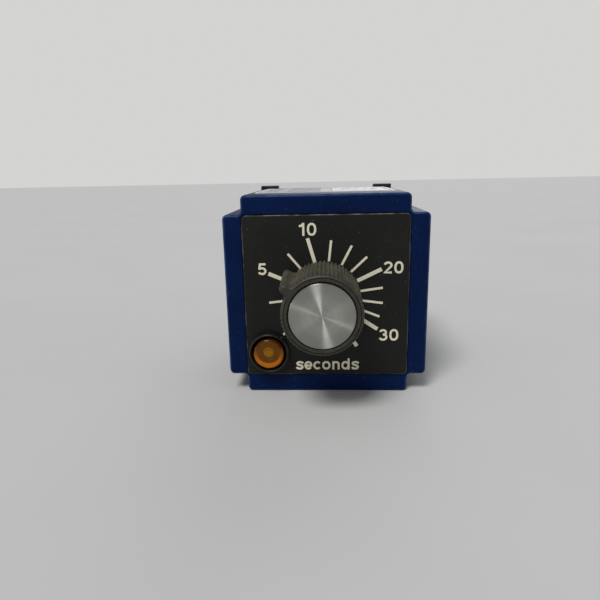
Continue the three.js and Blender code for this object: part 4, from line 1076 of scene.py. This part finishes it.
def lens_cup():
    """A cup, closed in front: a rounded front edge, a shallow gate mark, and a thick side wall."""
    front, floor, inner = lens_low[1], lens_low[1] + LENS_FACE, lens_radius - LENS_WALL
    mark = front + GATE_DEPTH
    return turned("lens_cup", rounded([
        (0, front + 0.02, 0), (GATE_RADIUS - GATE_BOSS, mark, 0.2), (GATE_RADIUS, mark, 0.05),
        (GATE_RADIUS + 0.12, front, 0.08), (lens_radius, front, LENS_ROUND),
        (lens_radius, lens_high[1], 0.1), (inner, lens_high[1], 0.1), (inner, floor, LENS_ROUND),
        (0, floor, 0),
    ]), lamp_axis)


dress(bezel_ring(), black_abs, "case", "lamp_bezel")
dress(lens_cup(), amber_lens_with_painted_light, "case", "lamp_lens")
print("lens:", round(2 * lens_radius, 1), "mm across")

# %% [markdown]
# A neon bulb is a thin glass bulb with two rods side by side, and it glows round the rods. It is seen
# only through the lens, but a solid lump of glass there would look wrong, so it gets its hollow and
# its rods.

# %% Neon bulb
bulb_low, bulb_high = node_box("neon_bulb")
bulb_radius = radius_of("neon_bulb")
GLASS = 0.35
DOME, HOLLOW_DOME = 0.9, 0.7  # how far the glass is rounded at the tip, as shares of its radius
BULB_SEAL = 1.5  # solid glass at the foot
ELECTRODE_RADIUS = 0.4
ELECTRODE_OFFSET = 0.9
ELECTRODE_SPAN = (bulb_low[1] + 2.2, bulb_high[1] - 1.7)


def bulb_shell():
    """A domed tube with an inner surface: the same profile, set in by the glass's thickness."""
    tip, end, inner = bulb_low[1], bulb_high[1], bulb_radius - GLASS
    outside = rounded([(0, tip, 0), (bulb_radius, tip, bulb_radius * DOME), (bulb_radius, end, 0)],
                      steps=10)
    inside = rounded([(inner, end - BULB_SEAL, 0), (inner, tip + GLASS, bulb_radius * HOLLOW_DOME),
                      (0, tip + GLASS, 0)], steps=10)
    return turned("bulb_shell", np.vstack([outside, [(0, end)]]), lamp_axis, 64), inside


def bulb_hollow(obj, inside):
    """Adds the hollow as a second closed surface, turned inside out."""
    hollow = turned("bulb_hollow", np.vstack([[(0, inside[0][1])], inside]), lamp_axis, 64)
    work = bmesh.new()
    work.from_mesh(hollow.data)
    bmesh.ops.reverse_faces(work, faces=work.faces)
    work.to_mesh(hollow.data)
    work.clear()
    work.from_mesh(obj.data)
    work.from_mesh(hollow.data)
    work.to_mesh(obj.data)
    work.free()
    bpy.data.objects.remove(hollow)
    return obj


bulb = bulb_hollow(*bulb_shell())
dress(bulb, bulb_glass, "case", "neon_bulb")
start, end = ELECTRODE_SPAN
profile = rounded([(0, start, 0), (ELECTRODE_RADIUS, start, 0.15), (ELECTRODE_RADIUS, end, 0.15),
                   (0, end, 0)])
for number, side in ((1, -1), (2, 1)):
    rod_axis = (lamp_axis[0] + side * ELECTRODE_OFFSET, lamp_axis[1])
    rod = turned(f"bulb_electrode_{number}", profile, rod_axis, 24)
    dress(rod, plated_steel, "case")
print("bulb:", round(2 * bulb_radius, 1), "mm across")

# %% [markdown]
# ## The rating label
#
# The label on the top is a foil stuck down flat. Its print is kept generic: a ruled table with a
# heading bar, and the ring of dots that shows where the pins are. The lines are thin slabs, as the
# scale's ink is, because a flat sheet on a flat sheet would flicker.

# %% Label sheet
label_low, label_high = node_box("rating_label")
LABEL_CORNER = 1.0
LABEL_EASE = 0.06


def label_sheet():
    """A rounded rectangle at four heights, the last two set in a little."""
    x0, x1, y0, y1 = label_low[0], label_high[0], label_low[1], label_high[1]
    rings = []
    for inset, z in ((0, label_low[2]), (0, label_high[2] - LABEL_EASE), (LABEL_EASE, label_high[2])):
        flat = rounded([(x0 + inset, y0 + inset, LABEL_CORNER), (x1 - inset, y0 + inset, LABEL_CORNER),
                        (x1 - inset, y1 - inset, LABEL_CORNER), (x0 + inset, y1 - inset, LABEL_CORNER)], True)
        rings.append(np.column_stack([flat, np.full(len(flat), z)]))
    return stack("label_sheet", rings)


dress(label_sheet(), label_foil, "case", "rating_label")
print("label:", round(label_high[0] - label_low[0], 1), "mm wide")

# %% [markdown]
# Each mark is an outline in X and Y with a bottom and a top. A rule is a long thin rectangle, and a
# dot is a circle of sixteen points.

# %% Label print
LABEL_MARGIN = 1.3
RULE = 0.2
BAR = 0.6  # thickness of the heading bar and of the bars that stand for words
SPLIT, COLUMN = 0.55, 0.3  # the table's share of the width, and the first column's share of the table
ROWS = 6
HEADING = 6  # from the foot of the top row to the frame
ROW_WORD, ROW_RULE = 1.6, 3.9  # heights of a row's bars and of its rule
INDENT, SHORT = 1, 3  # gap before each bar, and after the second bar
PIN_COUNT = 11
DOT_CIRCLE, DOT_RADIUS = 4.6, 0.55


def label_mark(outline):
    """A flat prism of ink on the label: the outline, low and high, joined round and capped."""
    count = len(outline)
    top = label_high[2]
    points = np.vstack([np.column_stack([outline, np.full(count, z)]) for z in (top, top + INK)])
    faces = ring_faces(2, count).tolist()
    return points, faces + [list(range(count))[::-1], list(range(count, 2 * count))]


def bar(x0, x1, y0, y1):
    """A rectangle's four corners."""
    return np.array([(x0, y0), (x1, y0), (x1, y1), (x0, y1)], float)


def label_print():
    """Frame, heading bar, rows and column of a table at the left, ring of dots at the right."""
    x0, x1 = label_low[0] + LABEL_MARGIN, label_high[0] - LABEL_MARGIN
    y0, y1 = label_low[1] + LABEL_MARGIN, label_high[1] - LABEL_MARGIN
    split = x0 + SPLIT * (x1 - x0)
    column = x0 + COLUMN * (split - x0)
    half = RULE / 2
    marks = [bar(x0, x1, y - half, y + half) for y in (y0, y1)]
    marks += [bar(x - half, x + half, y0 + half, y1 - half) for x in (x0, column, split, x1)]
    marks += [bar(x0 + half, split - half, y1 - INDENT - BAR, y1 - INDENT)]
    for y in np.linspace(y0, y1 - HEADING, ROWS):
        for left, right in ((x0 + INDENT, column - INDENT), (column + INDENT, split - SHORT)):
            marks.append(bar(left, right, y + ROW_WORD, y + ROW_WORD + BAR))
        for left, right in ((x0 + half, column - half), (column + half, split - half)):
            marks.append(bar(left, right, y + ROW_RULE, y + ROW_RULE + RULE))
    turn = np.linspace(0, 2 * np.pi, 16, endpoint=False)
    dot = DOT_RADIUS * np.column_stack([np.cos(turn), np.sin(turn)])
    centre = np.array([(split + x1) / 2, (y0 + y1) / 2])
    angle = (np.arange(PIN_COUNT) + 0.5) / PIN_COUNT * 2 * np.pi
    marks += [centre + DOT_CIRCLE * np.array([math.sin(a), -math.cos(a)]) + dot for a in angle]
    return joined("label_print", [label_mark(outline) for outline in marks])


dress(label_print(), label_ink, "case")
print("label print:", ROWS, "rows and", PIN_COUNT, "dots")

# %% [markdown]
# ## The pins
#
# The base carries a ring of brass pins. Each is a tube closed at the tip with a bead of solder, so it
# ends in a soft dome. A cylinder would end flat, so the pin is a turned profile with three radii.

# %% Pins
TIP_LENGTH, TIP_ROUND = 1.6, 0.85
TIP_TAPER = 0.93  # the tip's radius as a share of the pin's
for number in range(1, PIN_COUNT + 1):
    node = f"contact_pin_{number}"
    low, high = node_box(node)
    radius = radius_of(node)
    profile = rounded([(0, low[1], 0), (radius, low[1], 0.15), (radius, high[1] - TIP_LENGTH, 0.8),
                       (radius * TIP_TAPER, high[1], TIP_ROUND), (0, high[1], 0)], steps=8)
    dress(turned(f"plug_pin_{number}", profile, axis_of(node), 40), pin_brass, "case", node)
print("pins:", PIN_COUNT)

# %% [markdown]
# ## The base and its screws
#
# The base is a flat flange with a keyed spigot, and two slotted screws sit in counterbores. Their
# solids already have the right shape, only with knife edges. So a copy of each solid is cleaned to
# flat faces, and a Bevel modifier eases its edges, which is quicker than drawing them again. Bevel's
# overlap clamp is off: the short edges round a hole would hold every other edge back too.

# %% Softened copies
BASE_EASE, SCREW_EASE = 0.3, 0.12
FLAT_WITHIN, CRISP_FROM, EASED_FROM = 1, 30, 35  # degrees by which an edge turns


def softened(node, width):
    """A copy of a solid with doubled points merged, flat faces joined, and eased edges."""
    mesh = frame["nodes"][node].data.copy()
    work = bmesh.new()
    work.from_mesh(mesh)
    bmesh.ops.remove_doubles(work, verts=work.verts, dist=2e-6)
    bmesh.ops.dissolve_limit(work, angle_limit=math.radians(FLAT_WITHIN), verts=work.verts,
                             edges=work.edges)
    work.to_mesh(mesh)
    work.free()
    mesh.shade_smooth()
    mesh.set_sharp_from_angle(angle=math.radians(CRISP_FROM))
    obj = add_object(f"{node}_eased", mesh)
    bevel = obj.modifiers.new("eased edges", "BEVEL")
    bevel.width, bevel.segments, bevel.limit_method = width * MM, 2, "ANGLE"
    bevel.angle_limit = math.radians(EASED_FROM)
    bevel.harden_normals, bevel.use_clamp_overlap = True, False
    return obj


for node, material, width in (("plug_base", black_abs, BASE_EASE),
                              ("base_screw_1", plated_steel, SCREW_EASE),
                              ("base_screw_2", plated_steel, SCREW_EASE)):
    dress(softened(node, width), material, body_of[node], node)
print("base and screws eased")

# %% [markdown]
# ## The parts inside
#
# Boards, relay, pot and capacitors are closed in by the case. They keep their solids, which are
# enough for parts seen only when the case is opened, and get the finish of their slot in the record.

# %% Finishes of the inner parts
SLOT_FINISH = {
    "turned_brass": turned_brass, "plated_steel": plated_steel, "shaft_aluminium": drawn_aluminium,
    "copper": copper_wire, "black_moulding": black_abs, "bulb_glass": bulb_glass,
    "board_laminate": board_laminate, "phenolic": phenolic, "white_nylon": white_nylon,
    "clear_cover": clear_cover, "capacitor_dip": dipped_red, "capacitor_sleeve": blue_sleeve,
}
inner = [node for node, obj in frame["nodes"].items() if not obj.hide_render]
for node in inner:
    frame["nodes"][node].data.materials.clear()
    frame["nodes"][node].data.materials.append(SLOT_FINISH[slot_of[node]])
print("inner parts:", len(inner))

# %% [markdown]
# ## Floor
#
# A plain pale floor, large enough that its edge is far away. It could curve up into a backdrop, but
# that shows an edge from behind, while the world's own colour can close the picture from any side.

# %% Floor
FLOOR_SIZE = 6000


def pale_paper():
    """Pale matt paper with a very faint mottling 60 mm across."""
    material, tree, place = new_finish("pale_floor_paper")
    cloud = add(tree, "TexNoise", {"Vector": place, "Scale": 1 / (60 * MM), "Detail": 2.0})
    tone = add(tree, "Mix", {"Factor": cloud, "A": "#bcbcba", "B": "#c3c3c1"}, data_type="RGBA")
    close_finish(tree, {"Base Color": tone, "Roughness": 0.9, "Specular IOR Level": 0.2})
    return material


half = FLOOR_SIZE / 2
floor = make_mesh("floor", [(-half, -half, 0), (half, -half, 0), (half, half, 0), (-half, half, 0)],
                  [[0, 1, 2, 3]])
floor.data.materials.append(pale_paper())
floor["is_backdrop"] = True
print("floor:", FLOOR_SIZE, "mm")

# %% [markdown]
# ## Lamps and world
#
# The light is plain and soft. Square lamps near the object would fade across the floor, so each lamp
# is a sun with a wide disc, which lights every place alike and still gives a soft shadow. One stands
# high in front, one low at each side, and a weak one behind. The low ones draw the sideways rays on
# the knob's cap. The world fills the shadows, and what the camera, metal and glass see of it is pale.

# %% Lamps and world
def soft_sun(name, towards, angle, strength):
    """A sun that shines from a direction, with a disc this many degrees wide."""
    light = bpy.data.lights.new(name, "SUN")
    light.angle, light.energy = math.radians(angle), strength
    add_object(name, light).rotation_euler = Vector(towards).to_track_quat("Z", "Y").to_euler()


soft_sun("overhead", (-0.23, -0.5, 0.85), 20, 2.2)
soft_sun("left", (-0.9, -0.5, 0.03), 14, 0.65)
soft_sun("right", (0.9, -0.3, 0.2), 26, 0.3)
soft_sun("behind", (0.2, 0.85, 0.5), 40, 0.6)


def studio_world(fill, seen, mirrored):
    """A dim even fill for the light, and a pale colour that is seen whole directly and through glass,
    and in part by mirrors, so that black parts stay black."""
    world = bpy.data.worlds.new("studio")
    world.use_nodes = True
    tree = world.node_tree
    tree.nodes.clear()
    path = tree.nodes.new("ShaderNodeLightPath")
    direct = add(tree, "Math", {0: path.outputs["Is Camera Ray"], 1: path.outputs["Is Transmission Ray"]},
                 operation="MAXIMUM")
    glossy = add(tree, "Math", {0: path.outputs["Is Glossy Ray"], 1: mirrored}, operation="MULTIPLY")
    shown = add(tree, "Math", {0: direct, 1: glossy}, operation="MAXIMUM")
    lit = add(tree, "Background", {"Color": "#eef2f6", "Strength": fill})
    pale = add(tree, "Background", {"Color": seen, "Strength": 1.0})
    both = add(tree, "MixShader", {0: shown, 1: lit, 2: pale})
    add(tree, "OutputWorld", {"Surface": both})
    bpy.context.scene.world = world


studio_world(fill=0.32, seen="#d4d4d2", mirrored=0.22)

# %% [markdown]
# ## Camera
#
# The camera stands a hand's length in front of the face and a little above, looking slightly down. A
# Track To constraint could aim it, but three angles also hold a small roll, as a hand gives it.

# %% Camera
CAMERA_YAW, CAMERA_PITCH, CAMERA_ROLL = -0.0561, 0.2422, -0.0213  # radians
CAMERA_PLACE = (0.48, front_y - 123.8, 54.9)
LENS_MM, SENSOR_MM = 30.9, 36
NEAREST = 0.005  # metres; the camera stands close


def aim(yaw, pitch, roll, place):
    """The camera's matrix: it looks along +Y, turned by yaw about Z, dipped by pitch, then rolled."""
    sy, cy, sp, cp = math.sin(yaw), math.cos(yaw), math.sin(pitch), math.cos(pitch)
    forward, right = Vector((sy * cp, cy * cp, -sp)), Vector((cy, -sy, 0))
    up = right.cross(forward)
    c, s = math.cos(roll), math.sin(roll)
    columns = Matrix((c * right + s * up, c * up - s * right, -forward)).transposed().to_4x4()
    return Matrix.Translation(Vector(place) * MM) @ columns


lens = bpy.data.cameras.new("camera")
lens.lens, lens.sensor_width, lens.clip_start = LENS_MM, SENSOR_MM, NEAREST
camera = add_object("camera", lens)
camera.matrix_world = aim(CAMERA_YAW, CAMERA_PITCH, CAMERA_ROLL, CAMERA_PLACE)
bpy.context.scene.camera = camera
bpy.context.scene.view_settings.view_transform = "Standard"
print("camera", round(front_y - CAMERA_PLACE[1]), "mm in front of the case")

# %% [markdown]
#
# The dressed object must keep the size of the solids. Its box is printed.

# %% Print the dressed object's box
low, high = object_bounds()
print("box of the dressed object in mm:", [round(1000 * v, 1) for v in (*low, *high)])
